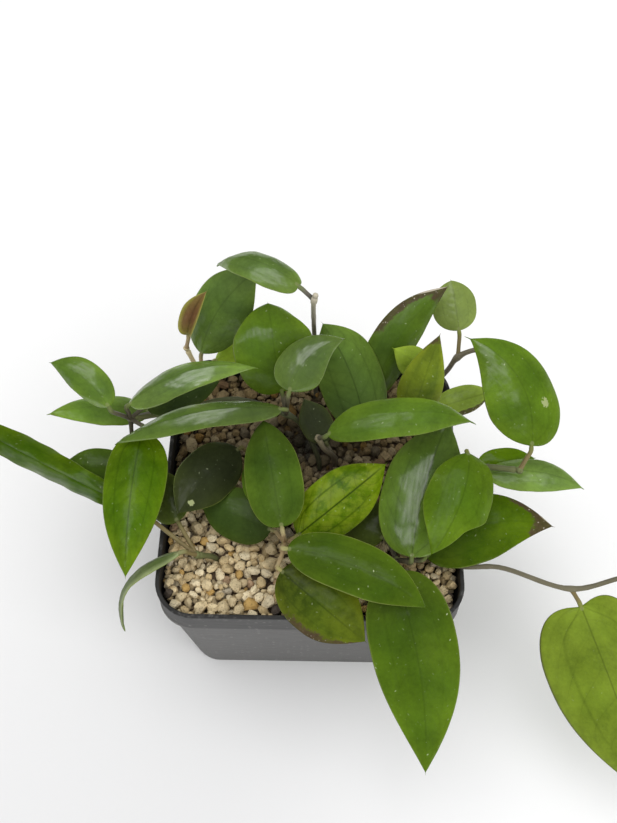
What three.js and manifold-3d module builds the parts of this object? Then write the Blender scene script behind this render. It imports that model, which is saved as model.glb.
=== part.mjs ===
// A hoya in a square plastic nursery pot filled with pumice. Several woody vines stand in the pumice, arch over
// the rim and carry thick ovate leaves on short petioles. Millimetres, +Z up. The origin is the middle of the
// pot's underside, and the pot's front faces -Y.
import * as THREE from "three";
import { mergeVertices } from "three/addons/utils/BufferGeometryUtils.js";
import Module from "manifold-3d";

const wasm = await Module();
wasm.setup();

// ---- driving dimensions ----
const GAP = 0.35; // clear space kept between neighbours that touch
const POT = {
  width: 100, // outside of the rim
  base: 85, // outside of the foot
  height: 65,
  band: 11, // height of the rim band
  ledge: 1.3, // how far the band stands out of the wall
  wall: 1.4,
  floor: 1.8,
  rimCorner: 13,
  footCorner: 9,
  lip: 0.5, // chamfer round the top edge
};
const DRAIN = { radius: 3, pitch: 27 };
const BED = { belowRim: 6, fall: 0.02, stone: 4.4, spacing: 8, squash: 0.72 };
const BLADE = { columns: 4, middle: 1.0, edge: 0.62, neck: 1.1, round: 2.3 };
const CANE = { sides: 6, petioleSides: 5, petiole: 0.85, knot: 1.5 };

const CORNER_STEPS = 4;
const SEED = 20477;

// ---- solids ----

/** Joins a closed geometry's shared vertices and makes it a solid that can be joined and cut. */
function solid(geometry) {
  const bare = geometry.index ? geometry.toNonIndexed() : geometry.clone();
  bare.deleteAttribute("normal");
  bare.deleteAttribute("uv");
  const merged = mergeVertices(bare, 1e-4);
  return new wasm.Manifold(
    new wasm.Mesh({
      numProp: 3,
      vertProperties: merged.attributes.position.array,
      triVerts: new Uint32Array(merged.index.array),
    }),
  );
}

/** Gives a solid back as a geometry. */
function geometryOf(body) {
  const { vertProperties, triVerts } = body.getMesh();
  return new THREE.BufferGeometry()
    .setAttribute("position", new THREE.BufferAttribute(vertProperties, 3))
    .setIndex(new THREE.BufferAttribute(triVerts, 1));
}

/** The largest connected body of a solid: a boolean can leave a loose scrap. */
function mainBody(body) {
  return body.decompose().sort((a, b) => b.volume() - a.volume())[0];
}

/** A closed geometry through rings of equally many points, bottom first, each anticlockwise, with flat ends. */
function skin(rings) {
  const around = rings[0].length;
  const corners = rings.flat().flatMap((p) => [p.x, p.y, p.z]);
  const faces = [];
  for (let ring = 0; ring + 1 < rings.length; ring++) {
    for (let k = 0; k < around; k++) {
      const a = ring * around + k;
      const b = ring * around + ((k + 1) % around);
      faces.push(a, b, b + around, a, b + around, a + around);
    }
  }
  const last = (rings.length - 1) * around;
  for (let k = 1; k + 1 < around; k++) {
    faces.push(0, k + 1, k);
    faces.push(last, last + k, last + k + 1);
  }
  return new THREE.BufferGeometry()
    .setAttribute("position", new THREE.Float32BufferAttribute(corners, 3))
    .setIndex(faces);
}

/** A square outline with rounded corners, at height z. */
function roundedSquare({ half, corner, z }) {
  const ring = [];
  for (let quarter = 0; quarter < 4; quarter++) {
    const turn = (quarter * Math.PI) / 2;
    for (let step = 0; step <= CORNER_STEPS; step++) {
      const angle = turn + (step / CORNER_STEPS) * (Math.PI / 2);
      const middle = new THREE.Vector2(half - corner, half - corner).rotateAround(new THREE.Vector2(), turn);
      ring.push(
        new THREE.Vector3(middle.x + corner * Math.cos(angle), middle.y + corner * Math.sin(angle), z),
      );
    }
  }
  return ring;
}

// ---- pot ----

const bandFoot = POT.height - POT.band;

/** Half the wall's outside width and its corner radius at height z, below the rim band. */
function wallAt(z) {
  const share = z / bandFoot;
  const top = POT.width / 2 - POT.ledge;
  return {
    half: THREE.MathUtils.lerp(POT.base / 2, top, share),
    corner: THREE.MathUtils.lerp(POT.footCorner, POT.rimCorner - POT.ledge, share),
  };
}

/** The rounded squares of the pot's inside, moved inwards by clear, from height low to height high. */
function insideRings(clear, low, high) {
  const inset = POT.wall + clear;
  const ring = (z, out) => {
    const { half, corner } = wallAt(Math.min(z, bandFoot));
    return roundedSquare({ half: half + out - inset, corner: corner + out - inset, z });
  };
  return [ring(low, 0), ring(bandFoot - 1, 0), ring(bandFoot + 1, POT.ledge), ring(high, POT.ledge)];
}

function potGeometry() {
  const rim = POT.width / 2;
  const wallTop = wallAt(bandFoot);
  const outside = skin([
    roundedSquare({ ...wallAt(0), z: 0 }),
    roundedSquare({ ...wallTop, z: bandFoot }),
    roundedSquare({ half: rim - 0.3, corner: POT.rimCorner, z: bandFoot }),
    roundedSquare({ half: rim, corner: POT.rimCorner, z: POT.height - POT.lip }),
    roundedSquare({ half: rim - POT.lip, corner: POT.rimCorner - POT.lip, z: POT.height }),
  ]);
  const inside = skin(insideRings(0, POT.floor, POT.height + 5));
  let body = solid(outside).subtract(solid(inside));
  for (const column of [-1, 0, 1]) {
    for (const row of [-1, 0, 1]) {
      if (column === 0 && row === 0) continue; // the middle stays flat, to stand on
      const drain = new THREE.CylinderGeometry(DRAIN.radius, DRAIN.radius, 4 * POT.floor, 12)
        .rotateX(Math.PI / 2)
        .translate(column * DRAIN.pitch, row * DRAIN.pitch, 0);
      body = body.subtract(solid(drain));
    }
  }
  return geometryOf(body);
}

// ---- pumice ----

/** Seeded random numbers from 0 to 1. */
function dice(seed) {
  let state = seed;
  return () => {
    state = (Math.imul(state, 1664525) + 1013904223) >>> 0;
    return state / 2 ** 32;
  };
}

/** Height of the pumice at depth y: it lies lower at the back. */
function bedLevel(y) {
  return POT.height - BED.belowRim - BED.fall * y;
}

/** The pumice in the pot, with stones standing out of its top, and a plain hole for each vine. */
function bedGeometry(holes) {
  const random = dice(SEED);
  const flat = bedLevel(0) - 1.2;
  const room = POT.width / 2 - POT.wall - BED.stone * 0.55;
  const stones = [];
  const rowStep = BED.spacing * Math.sqrt(0.75);
  const rows = Math.floor(room / rowStep);
  for (let row = -rows; row <= rows; row++) {
    for (let column = -rows - 1; column <= rows + 1; column++) {
      const x = (column + (row % 2) / 2) * BED.spacing + (random() - 0.5) * 2;
      const y = row * rowStep + (random() - 0.5) * 2;
      const size = BED.stone * (0.85 + 0.4 * random());
      const turn = new THREE.Euler(random() * Math.PI, random() * Math.PI, random() * Math.PI);
      if (Math.abs(x) > room || Math.abs(y) > room) continue;
      const stone = new THREE.OctahedronGeometry(size, 0)
        .applyMatrix4(new THREE.Matrix4().makeRotationFromEuler(turn))
        .scale(1, 0.85, BED.squash)
        .translate(x, y, bedLevel(y) - 1.6 + random() * 1.2);
      stones.push(solid(stone));
    }
  }
  const clip = solid(skin(insideRings(GAP, POT.floor + GAP, POT.height)));
  const filling = solid(skin(insideRings(GAP, POT.floor + GAP, flat)));
  const heap = wasm.Manifold.union([filling, ...stones]).intersect(clip);
  return geometryOf(mainBody(heap.subtract(wasm.Manifold.union(holes))));
}

// ---- leaves ----

/** A blade's half width at share t of its length: a rounded base, then a cosine to the point, or a blunt end. */
function halfWidth(leaf, t) {
  const { width, widest = 0.42, full = 1.4, blunt = 0 } = leaf;
  const rise = t < widest ? (1 - ((widest - t) / widest) ** BLADE.round) ** (1 / BLADE.round) : 1;
  const past = Math.min(1, Math.max(0, (t - widest) / (1 - widest)));
  const fall = THREE.MathUtils.lerp(Math.cos((Math.PI / 2) * past ** full), Math.sqrt(1 - past ** 2), blunt);
  return Math.max((width / 2) * rise * fall, BLADE.neck / 2);
}

/** The midrib's frame at share t: a point on it, and the directions along, across and out of the upper face. */
function bladeFrame(leaf, t) {
  const base = new THREE.Vector3(...leaf.base);
  const reach = new THREE.Vector3(...leaf.tip).sub(base);
  const chord = reach.clone().normalize();
  const face = new THREE.Vector3(...leaf.face);
  face.addScaledVector(chord, -face.dot(chord)).normalize();
  const side = chord.clone().cross(face);
  const { arch = 2, hook = 0, dip = 0, sweep = 0, twist = 0 } = leaf;
  const bow = (s) => s * (1 - s) * 4;
  const droop = (s) => hook * Math.max(0, (s - 0.7) / 0.3) ** 2 + dip * Math.max(0, 1 - s / 0.2) ** 2;
  const at = (s) =>
    base
      .clone()
      .addScaledVector(reach, s)
      .addScaledVector(face, arch * bow(s) - droop(s))
      .addScaledVector(side, sweep * bow(s));
  const along = at(t + 0.01).sub(at(t - 0.01)).normalize();
  const across = along.clone().cross(face).normalize();
  across.applyAxisAngle(along, THREE.MathUtils.degToRad(twist * (t - 0.5)));
  const out = across.clone().cross(along);
  return { point: at(t), along, across, out };
}

/** A point of the blade's middle surface. Each half is an arc that leaves the midrib at the keel angle. */
function bladePoint(leaf, t, u) {
  const { curl = 0.5, keel = 0.1, wave = 0.4, lobe = 0, nip = 0, widest = 0.42 } = leaf;
  const { point, along, across, out } = bladeFrame(leaf, t);
  const pinch = u * nip > 0 ? Math.abs(nip) * THREE.MathUtils.smoothstep(t, 0.5, 0.72) : 0;
  const reach = halfWidth(leaf, t) * (1 - pinch);
  const bend = Math.abs(curl) < 1e-3 ? 1e-3 : curl;
  const span = Math.abs(u);
  const wide = (reach * (Math.sin(keel + bend * span) - Math.sin(keel))) / bend;
  const drop = (reach * (Math.cos(keel) - Math.cos(keel + bend * span))) / bend;
  const swell = Math.sin(9 * t + leaf.base[0] + (u > 0 ? 0 : 1.3));
  const ripple = (wave * span ** 2 * swell * reach) / (leaf.width / 2);
  const back = (lobe * span ** 1.5 * Math.max(0, 1 - t / widest) ** 2 * reach) / (leaf.width / 2);
  return point
    .addScaledVector(across, Math.sign(u) * wide)
    .addScaledVector(out, ripple - drop)
    .addScaledVector(along, -back);
}

/** A closed thin blade: the middle surface, thickened both ways, with both faces split into triangles alike. */
function bladeGeometry(leaf) {
  const { columns } = BLADE;
  const length = new THREE.Vector3(...leaf.base).distanceTo(new THREE.Vector3(...leaf.tip));
  const rows = length > 45 ? 11 : length > 26 ? 9 : 7;
  const corners = [];
  const offset = (rows + 1) * (columns + 1);
  const shares = [...Array(rows + 1).keys()].map((row) => {
    const even = row / rows;
    return 0.45 * even + 0.55 * (0.5 - 0.5 * Math.cos(Math.PI * even));
  });
  for (const way of [1, -1]) {
    for (const t of shares) {
      for (let column = 0; column <= columns; column++) {
        const u = (2 * column) / columns - 1;
        const thick = THREE.MathUtils.lerp(BLADE.middle, BLADE.edge, Math.abs(u));
        const { out } = bladeFrame(leaf, t);
        const p = bladePoint(leaf, t, u).addScaledVector(out, (way * thick) / 2);
        corners.push(p.x, p.y, p.z);
      }
    }
  }
  const faces = [];
  const quad = (a, b, c, d) => faces.push(a, b, c, a, c, d);
  const at = (row, column) => row * (columns + 1) + column;
  for (let row = 0; row < rows; row++) {
    for (let column = 0; column < columns; column++) {
      const [a, b] = [at(row, column), at(row, column + 1)];
      const [c, d] = [at(row + 1, column + 1), at(row + 1, column)];
      faces.push(a, b, c, a, c, d);
      faces.push(a + offset, c + offset, b + offset, a + offset, d + offset, c + offset);
    }
    quad(at(row, 0), at(row + 1, 0), at(row + 1, 0) + offset, at(row, 0) + offset);
    quad(at(row + 1, columns), at(row, columns), at(row, columns) + offset, at(row + 1, columns) + offset);
  }
  for (let column = 0; column < columns; column++) {
    quad(at(0, column + 1), at(0, column), at(0, column) + offset, at(0, column + 1) + offset);
    quad(at(rows, column), at(rows, column + 1), at(rows, column + 1) + offset, at(rows, column) + offset);
  }
  return new THREE.BufferGeometry()
    .setAttribute("position", new THREE.Float32BufferAttribute(corners, 3))
    .setIndex(faces);
}

// ---- vines ----

/** A round tube along a smooth curve through the points. */
function tube(points, radius, sides, steps) {
  const curve = new THREE.CatmullRomCurve3(points, false, "centripetal");
  const section = new THREE.Shape(
    [...Array(sides).keys()].map((k) => {
      const angle = (2 * Math.PI * k) / sides;
      return new THREE.Vector2(radius * Math.cos(angle), radius * Math.sin(angle));
    }),
  );
  return new THREE.ExtrudeGeometry(section, { steps, extrudePath: curve, bevelEnabled: false });
}

/** A leaf's petiole: from its node on the vine, curving into line with the midrib, to just short of it. */
function petiole(vine, leaf) {
  const { point, along } = bladeFrame(leaf, 0);
  const end = point.clone().addScaledVector(along, -GAP);
  const bend = point.clone().addScaledVector(along, -2.2);
  const start = new THREE.Vector3(...vine.nodes[leaf.node]);
  const middle = start.clone().lerp(bend, 0.55);
  return solid(tube([start, middle, bend, end], CANE.petiole, CANE.petioleSides, 4));
}

/** One vine: its woody cane, a knot at each node, and the petioles that leave it. */
function vineGeometry(vine, leaves) {
  const points = vine.cane.map((p) => new THREE.Vector3(...p));
  const parts = [solid(tube(points, vine.radius, CANE.sides, 2 * points.length))];
  for (const leaf of leaves) {
    parts.push(petiole(vine, leaf));
  }
  for (const [x, y, z] of [...vine.nodes, vine.cane.at(-1)]) {
    parts.push(solid(new THREE.IcosahedronGeometry(CANE.knot, 0).translate(x, y, z)));
  }
  return geometryOf(wasm.Manifold.union(parts));
}

/** The hole that a vine stands in: its cane, wider by the gap all round. */
function vineHole(vine) {
  const points = vine.cane.map((p) => new THREE.Vector3(...p));
  points[0].z -= GAP;
  return solid(tube(points, vine.radius + GAP + 0.1, CANE.sides, 2 * points.length));
}

// Each vine's cane, from its foot in the pumice to its end, and the nodes that its leaves grow from.
const VINES = [
  {
    name: "vine_left",
    radius: 1.1,
    cane: [
      [3, 8, 48], [2, 11, 62], [-4, 18, 72], [-9, 19, 77],
      [-28, 26, 75], [-48, 19, 77], [-61, 13, 82],
    ],
    nodes: [[-9, 19, 77], [-61, 13, 82]],
  },
  {
    name: "vine_back",
    radius: 1.0,
    cane: [[1, 38, 48], [1, 44, 70], [0, 45, 94], [0, 36, 118]],
    nodes: [[0, 36, 118]],
  },
  {
    name: "vine_back_left",
    radius: 1.0,
    cane: [[-36, 34, 48], [-38, 37, 62], [-40, 39, 68], [-45, 44, 80]],
    nodes: [[-40, 39, 68], [-45, 44, 80]],
  },
  {
    name: "vine_back_right",
    radius: 1.1,
    cane: [[36, 32, 48], [44, 38, 68], [48, 40, 75], [51, 42, 80], [57, 43, 83], [62, 42, 84]],
    nodes: [[51, 42, 80]],
  },
  {
    name: "vine_centre",
    radius: 1.0,
    cane: [[8, 10, 48], [8, 9, 64], [4, 5, 78], [2, 3, 88]],
    nodes: [[2, 3, 88], [8, 9, 64]],
  },
  {
    name: "vine_middle",
    radius: 1.1,
    cane: [[18, 22, 48], [19, 21, 62], [22, 19, 70]],
    nodes: [[22, 19, 70]],
  },
  {
    name: "vine_right_back",
    radius: 1.1,
    cane: [[32, 24, 48], [33, 23, 62], [36, 22, 67]],
    nodes: [[36, 22, 67]],
  },
  {
    name: "vine_right",
    radius: 1.1,
    cane: [[24, 4, 48], [30, 2, 64], [42, -1, 75], [53, -2, 80], [67, -6, 85]],
    nodes: [[67, -6, 85], [53, -2, 80]],
  },
  {
    name: "vine_trailing",
    radius: 0.95,
    cane: [
      [32, -22, 48], [38, -26, 60], [50, -32, 66.8], [61, -32, 67],
      [85, -37, 62], [100, -34, 64], [112, -31, 67], [122, -29, 71],
    ],
    nodes: [[85, -37, 62]],
  },
  {
    name: "vine_front_right",
    radius: 1.1,
    cane: [[28, -24, 48], [28, -26, 60], [28, -31, 69]],
    nodes: [[28, -31, 69]],
  },
  {
    name: "vine_front",
    radius: 1.1,
    cane: [[-4, -16, 48], [-6, -19, 58], [-8, -27, 72]],
    nodes: [[-8, -27, 72]],
  },
  {
    name: "vine_front_left",
    radius: 1.1,
    cane: [[-30, -26, 48], [-32, -27, 60], [-37, -29, 66]],
    nodes: [[-37, -29, 66]],
  },
  {
    name: "vine_left_middle",
    radius: 1.0,
    cane: [[-20, 13, 48], [-21, 12, 58], [-22, 11, 64]],
    nodes: [[-22, 11, 64]],
  },
];

const UP = [0, 0, 1];
const VIEW = [0, -0.5, 0.85]; // facing up and to the front

// Each leaf: the vine and node that it grows from, the two ends of its midrib, where its upper face looks and
// its width. arch bows the midrib up, sweep bows it to the right, hook turns the tip down and dip the base, lobe
// takes the base's corners back past the petiole, nip narrows one half towards the tip, and curl and keel bend the
// halves down, in radians. The number in a name follows the order round that side of the plant.
const LEAVES = [
  {
    name: "leaf_back_1", vine: "vine_back", node: 0,
    base: [-5, 38.7, 121.5], tip: [-32, 53, 116], face: [0.1, 0, 1],
    width: 13.5, arch: 5.5, hook: 1.5, widest: 0.4, lobe: 2.5,
  },
  {
    name: "leaf_back_2", vine: "vine_back_left", node: 0,
    base: [-39.5, 42, 80], tip: [-19, 55, 110], face: [-0.3, -0.75, 0.6],
    width: 22.5, sweep: -3, widest: 0.45, full: 1.2,
  },
  {
    name: "young_leaf", vine: "vine_back_left", node: 1,
    base: [-43.5, 44, 88], tip: [-36.5, 51, 103], face: [-0.3, -0.75, 0.6],
    width: 9, keel: -0.6, curl: -0.3, arch: 1.5, sweep: -1, finish: "young",
  },
  {
    name: "leaf_back_4", vine: "vine_left", node: 0,
    base: [-10.5, 23, 85], tip: [-15, 44, 105], face: [0.1, -0.6, 0.8],
    width: 27.5, arch: 5, hook: 5, sweep: -0.7, widest: 0.55, blunt: 1, curl: 0.2, lobe: 5,
  },
  {
    name: "leaf_back_5", vine: "vine_left", node: 0,
    base: [-7.5, 14.5, 98], tip: [10, 30, 106], face: [0, -0.4, 0.9],
    width: 17, hook: 1, sweep: -3.5, widest: 0.26, full: 1.1,
  },
  {
    name: "leaf_back_6", vine: "vine_middle", node: 0,
    base: [18, 14, 74], tip: [3, 42, 98], face: [0.1, -0.6, 0.75],
    width: 25, full: 1.9, sweep: 2.5,
  },
  {
    name: "leaf_back_7", vine: "vine_centre", node: 0,
    base: [5, 1, 96], tip: [51, 6, 97], face: [0, -0.1, 1],
    width: 15, arch: 5, hook: 3, dip: 3, sweep: -1.5,
  },
  {
    name: "leaf_back_8", vine: "vine_centre", node: 1,
    base: [5, 13, 68], tip: [-3, 22, 82], face: VIEW,
    width: 12,
  },
  {
    name: "leaf_right_1", vine: "vine_middle", node: 0,
    base: [21, 27, 76], tip: [46, 58, 99], face: [0.2, -0.6, 0.75],
    width: 17, widest: 0.33, sweep: -5,
  },
  {
    name: "leaf_right_2", vine: "vine_back_right", node: 0,
    base: [51, 49, 86], tip: [48, 64, 95], face: VIEW,
    width: 17, full: 1.6, widest: 0.5, arch: 1, blunt: 1,
  },
  {
    name: "leaf_right_3", vine: "vine_right_back", node: 0,
    base: [34, 17, 80], tip: [41, 32, 106], face: VIEW,
    width: 16, sweep: -0.5, widest: 0.28, full: 1.1,
  },
  {
    name: "leaf_right_4", vine: "vine_right_back", node: 0,
    base: [41, 31, 84], tip: [27, 35, 94], face: VIEW,
    width: 12,
  },
  {
    name: "leaf_right_5", vine: "vine_right_back", node: 0,
    base: [43, 25.5, 72], tip: [63, 31, 75], face: VIEW,
    width: 11,
  },
  {
    name: "leaf_right_6", vine: "vine_right", node: 0,
    base: [70, -1, 92], tip: [51, 31, 106], face: [0.2, -0.4, 0.85],
    width: 26.5, widest: 0.34, hook: 1, sweep: 6.5,
  },
  {
    name: "leaf_right_7", vine: "vine_right", node: 1,
    base: [58, -4, 78], tip: [88, -9, 80], face: UP,
    width: 13, hook: 1, sweep: -2,
  },
  {
    name: "leaf_right_8", vine: "vine_right", node: 1,
    base: [56, 2.5, 74], tip: [75, 4.5, 74.5], face: VIEW,
    width: 9.5,
  },
  {
    name: "leaf_right_9", vine: "vine_right", node: 1,
    base: [50, -4, 93], tip: [37, -36, 85], face: [0.1, -0.3, 0.95],
    width: 23, widest: 0.45, full: 1.25, sweep: -2.5, dip: 3, wave: 1.5, nip: -0.45,
  },
  {
    name: "leaf_right_10", vine: "vine_front_right", node: 0,
    base: [32, -33, 76], tip: [45, 11, 88], face: [0, -0.3, 0.95],
    width: 28, sweep: -2,
  },
  {
    name: "leaf_right_11", vine: "vine_front_right", node: 0,
    base: [37, -31, 72], tip: [78, -21, 75], face: [0, -0.3, 0.95],
    width: 24, arch: 1, sweep: -5.5, full: 1.1,
  },
  {
    name: "trailing_leaf", vine: "vine_trailing", node: 0,
    base: [88.5, -41.5, 58], tip: [112, -95, 28], face: VIEW,
    width: 39, widest: 0.28, full: 1.2, lobe: 6,
  },
  {
    name: "leaf_front_1", vine: "vine_front_right", node: 0,
    base: [26, -40, 80], tip: [36, -93, 52], face: [0, -0.4, 0.9],
    width: 28.5, widest: 0.34, full: 1.15, sweep: -2.9, curl: 0.35,
  },
  {
    name: "leaf_front_2", vine: "vine_front", node: 0,
    base: [-7, -34, 83], tip: [35, -52, 82], face: [0, -0.3, 0.95],
    width: 18, sweep: -3,
  },
  {
    name: "leaf_front_3", vine: "vine_front", node: 0,
    base: [-9, -37, 73], tip: [17.5, -57.5, 67], face: VIEW,
    width: 22, curl: 0.2,
  },
  {
    name: "leaf_front_4", vine: "vine_front", node: 0,
    base: [-4, -25, 74], tip: [24, -4, 84], face: VIEW,
    width: 21,
  },
  {
    name: "leaf_front_5", vine: "vine_front", node: 0,
    base: [-9, -27, 84], tip: [-16, 9, 88], face: VIEW,
    width: 20, full: 1.8, blunt: 0.6,
  },
  {
    name: "leaf_front_6", vine: "vine_front", node: 0,
    base: [-13, -20, 67], tip: [-38, -8, 66], face: VIEW,
    width: 19,
  },
  {
    name: "leaf_front_7", vine: "vine_left_middle", node: 0,
    base: [-25, 7, 73], tip: [-43, -19, 76], face: VIEW,
    width: 20, sweep: 1.5,
  },
  {
    name: "leaf_front_8", vine: "vine_left_middle", node: 0,
    base: [-21, 5, 68], tip: [-19, -14, 72], face: VIEW,
    width: 7,
  },
  {
    name: "leaf_front_9", vine: "vine_front_right", node: 0,
    base: [24, -23, 68], tip: [8, -8, 66], face: VIEW,
    width: 18,
  },
  {
    name: "leaf_left_1", vine: "vine_left", node: 1,
    base: [-60, 13, 91], tip: [-19, 24, 98], face: [0, 0.05, 1],
    width: 13, keel: 0.2, arch: 6, widest: 0.35, full: 1.3, hook: 1, sweep: -1,
  },
  {
    name: "leaf_left_2", vine: "vine_left", node: 0,
    base: [-10, 12, 91], tip: [-64, 2, 84], face: UP,
    width: 11, keel: 0.2, arch: 8,
  },
  {
    name: "leaf_left_3", vine: "vine_left", node: 1,
    base: [-56, 17, 83], tip: [-32, 28, 83], face: VIEW,
    width: 12, arch: 1,
  },
  {
    name: "leaf_left_4", vine: "vine_left", node: 1,
    base: [-56, 7, 84], tip: [-58, -40, 73], face: VIEW,
    width: 22, widest: 0.3, full: 1.2, sweep: 1,
  },
  {
    name: "leaf_left_5", vine: "vine_left", node: 1,
    base: [-66, 10, 94], tip: [-86, 23, 100], face: VIEW,
    width: 12, hook: 1.5, sweep: 3,
  },
  {
    name: "leaf_left_6", vine: "vine_left", node: 1,
    base: [-57, 21.5, 73.5], tip: [-88, 13, 84], face: UP,
    width: 13, widest: 0.33, sweep: 1,
  },
  {
    name: "leaf_left_7", vine: "vine_front_left", node: 0,
    base: [-57, -16, 72], tip: [-120, 13, 83], face: VIEW,
    width: 13, keel: 0.45, widest: 0.6, sweep: -0.5, wave: 1,
  },
  {
    name: "leaf_left_8", vine: "vine_left", node: 1,
    base: [-62, 1, 68], tip: [-85, 3, 68], face: VIEW,
    width: 14,
  },
  {
    name: "leaf_left_9", vine: "vine_front_left", node: 0,
    base: [-44, -18, 68], tip: [-55, 2, 68], face: VIEW,
    width: 15,
  },
  {
    name: "leaf_left_10", vine: "vine_front_left", node: 0,
    base: [-42, -31, 72], tip: [-63, -45, 39], face: [-0.65, 0.25, 0.6],
    width: 7, arch: 8.5, keel: 0.2, curl: 0.3,
  },
  {
    name: "leaf_left_11", vine: "vine_back_left", node: 0,
    base: [-35, 44, 73], tip: [-23, 46, 78], face: VIEW,
    width: 8,
  },
];

const FINISH = {
  pot: { color: 0x4b4b4d, roughness: 0.62, metalness: 0 },
  pumice: { color: 0xc9b18a, roughness: 0.95, metalness: 0 },
  leaf: { color: 0x3f7a12, roughness: 0.42, metalness: 0 },
  young: { color: 0x6e4a33, roughness: 0.5, metalness: 0 },
  cane: { color: 0x6b5740, roughness: 0.8, metalness: 0 },
};

function mesh(name, geometry, finish) {
  const made = new THREE.Mesh(geometry, new THREE.MeshStandardMaterial(FINISH[finish]));
  made.name = name;
  return made;
}

const plant = new THREE.Group();
plant.add(mesh("pot", potGeometry(), "pot"));
plant.add(mesh("pumice", bedGeometry(VINES.map(vineHole)), "pumice"));
for (const vine of VINES) {
  const carried = LEAVES.filter((leaf) => leaf.vine === vine.name);
  plant.add(mesh(vine.name, vineGeometry(vine, carried), "cane"));
}
for (const leaf of LEAVES) {
  plant.add(mesh(leaf.name, bladeGeometry(leaf), leaf.finish ?? "leaf"));
}

export default plant;
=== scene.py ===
"""A potted hoya: a square nursery pot of pumice, woody vines and thick glossy leaves.

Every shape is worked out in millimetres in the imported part's own frame and goes into its mesh in metres.
"""

import logging
from dataclasses import dataclass, field
from enum import Enum
from typing import Any, Callable, Iterable, Optional, Union

import bpy
import numpy as np
from mathutils import Matrix, Vector


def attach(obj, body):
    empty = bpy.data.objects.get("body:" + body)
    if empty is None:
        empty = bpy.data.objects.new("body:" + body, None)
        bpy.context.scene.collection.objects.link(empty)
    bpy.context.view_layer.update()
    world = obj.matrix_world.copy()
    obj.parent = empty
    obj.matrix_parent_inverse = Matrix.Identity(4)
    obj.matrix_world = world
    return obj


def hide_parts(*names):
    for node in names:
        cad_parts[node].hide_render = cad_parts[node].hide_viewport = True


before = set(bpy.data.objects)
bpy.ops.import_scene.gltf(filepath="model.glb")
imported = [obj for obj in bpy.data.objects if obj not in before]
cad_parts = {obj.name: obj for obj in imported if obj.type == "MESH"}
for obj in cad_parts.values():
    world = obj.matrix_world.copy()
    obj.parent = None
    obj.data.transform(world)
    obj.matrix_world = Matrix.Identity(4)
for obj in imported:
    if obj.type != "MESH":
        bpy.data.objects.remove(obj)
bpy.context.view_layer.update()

log = logging.getLogger("hoya")

MM = 0.001
SEED = 4127
TINY = 1e-9
TURN = 2.0 * np.pi
POLES = np.array([[0.0, 0.0, -1.0], [0.0, 0.0, 1.0]])
Triple = tuple[float, float, float]


# ---- small vector maths on whole arrays ----


def unit(v: np.ndarray) -> np.ndarray:
    """Each vector divided by its length."""
    return v / np.maximum(np.linalg.norm(v, axis=-1, keepdims=True), TINY)


def smooth(x: np.ndarray, low: float, high: float) -> np.ndarray:
    """0 below low, 1 above high, and 3s^2 - 2s^3 between them, where s runs from 0 to 1."""
    s = np.clip((x - low) / (high - low), 0.0, 1.0)
    return s * s * (3.0 - 2.0 * s)


def ripple(p: np.ndarray, pitch: float, seed: float, waves: int = 5) -> np.ndarray:
    """Smooth uneven relief from -1 to 1: the mean of sine waves, each turned from the last and finer.

    Args:
        p: points, with two or three coordinates in the last axis.
        pitch: length of the longest wave, in the points' unit.
        seed: shifts and turns the waves.
        waves: how many there are.

    Returns:
        The relief at each point.
    """
    total = np.zeros(p.shape[:-1])
    for k in range(waves):
        turn = seed * 1.7 + k * 2.4
        way = np.array([np.cos(turn), np.sin(turn), np.cos(turn * 1.3 + k)])[: p.shape[-1]]
        total += np.sin((p @ way) * TURN * (1.0 + 0.37 * k) / pitch + seed * (k + 1.0))
    return total / waves


def circle(corners: int) -> np.ndarray:
    """Angles of evenly spaced corners round a circle."""
    return np.linspace(0.0, TURN, corners, endpoint=False)


def sphere(rings: int, around: int) -> np.ndarray:
    """Unit vectors to rings x around places on a sphere, without its poles."""
    lift = (np.linspace(-1, 1, rings + 2)[1:-1] * np.pi / 2)[:, None]
    turn, flat = circle(around), np.cos(lift)
    return np.stack(np.broadcast_arrays(flat * np.cos(turn), flat * np.sin(turn), np.sin(lift)), -1)


def run(path: np.ndarray) -> np.ndarray:
    """Distance along a path at each of its points."""
    return np.append(0, np.cumsum(np.linalg.norm(np.diff(path, axis=0), axis=1)))


# ---- objects and meshes ----


def linked(name: str, data: bpy.types.ID) -> bpy.types.Object:
    """A new object in the scene."""
    made = bpy.data.objects.new(name, data)
    bpy.context.scene.collection.objects.link(made)
    return made


def smooth_by_angle(piece: bpy.types.Object, degrees: float) -> None:
    """Marks edges that turn by more than the angle as sharp and leaves the rest smooth."""
    piece.data.set_sharp_from_angle(angle=np.radians(degrees))


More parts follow.
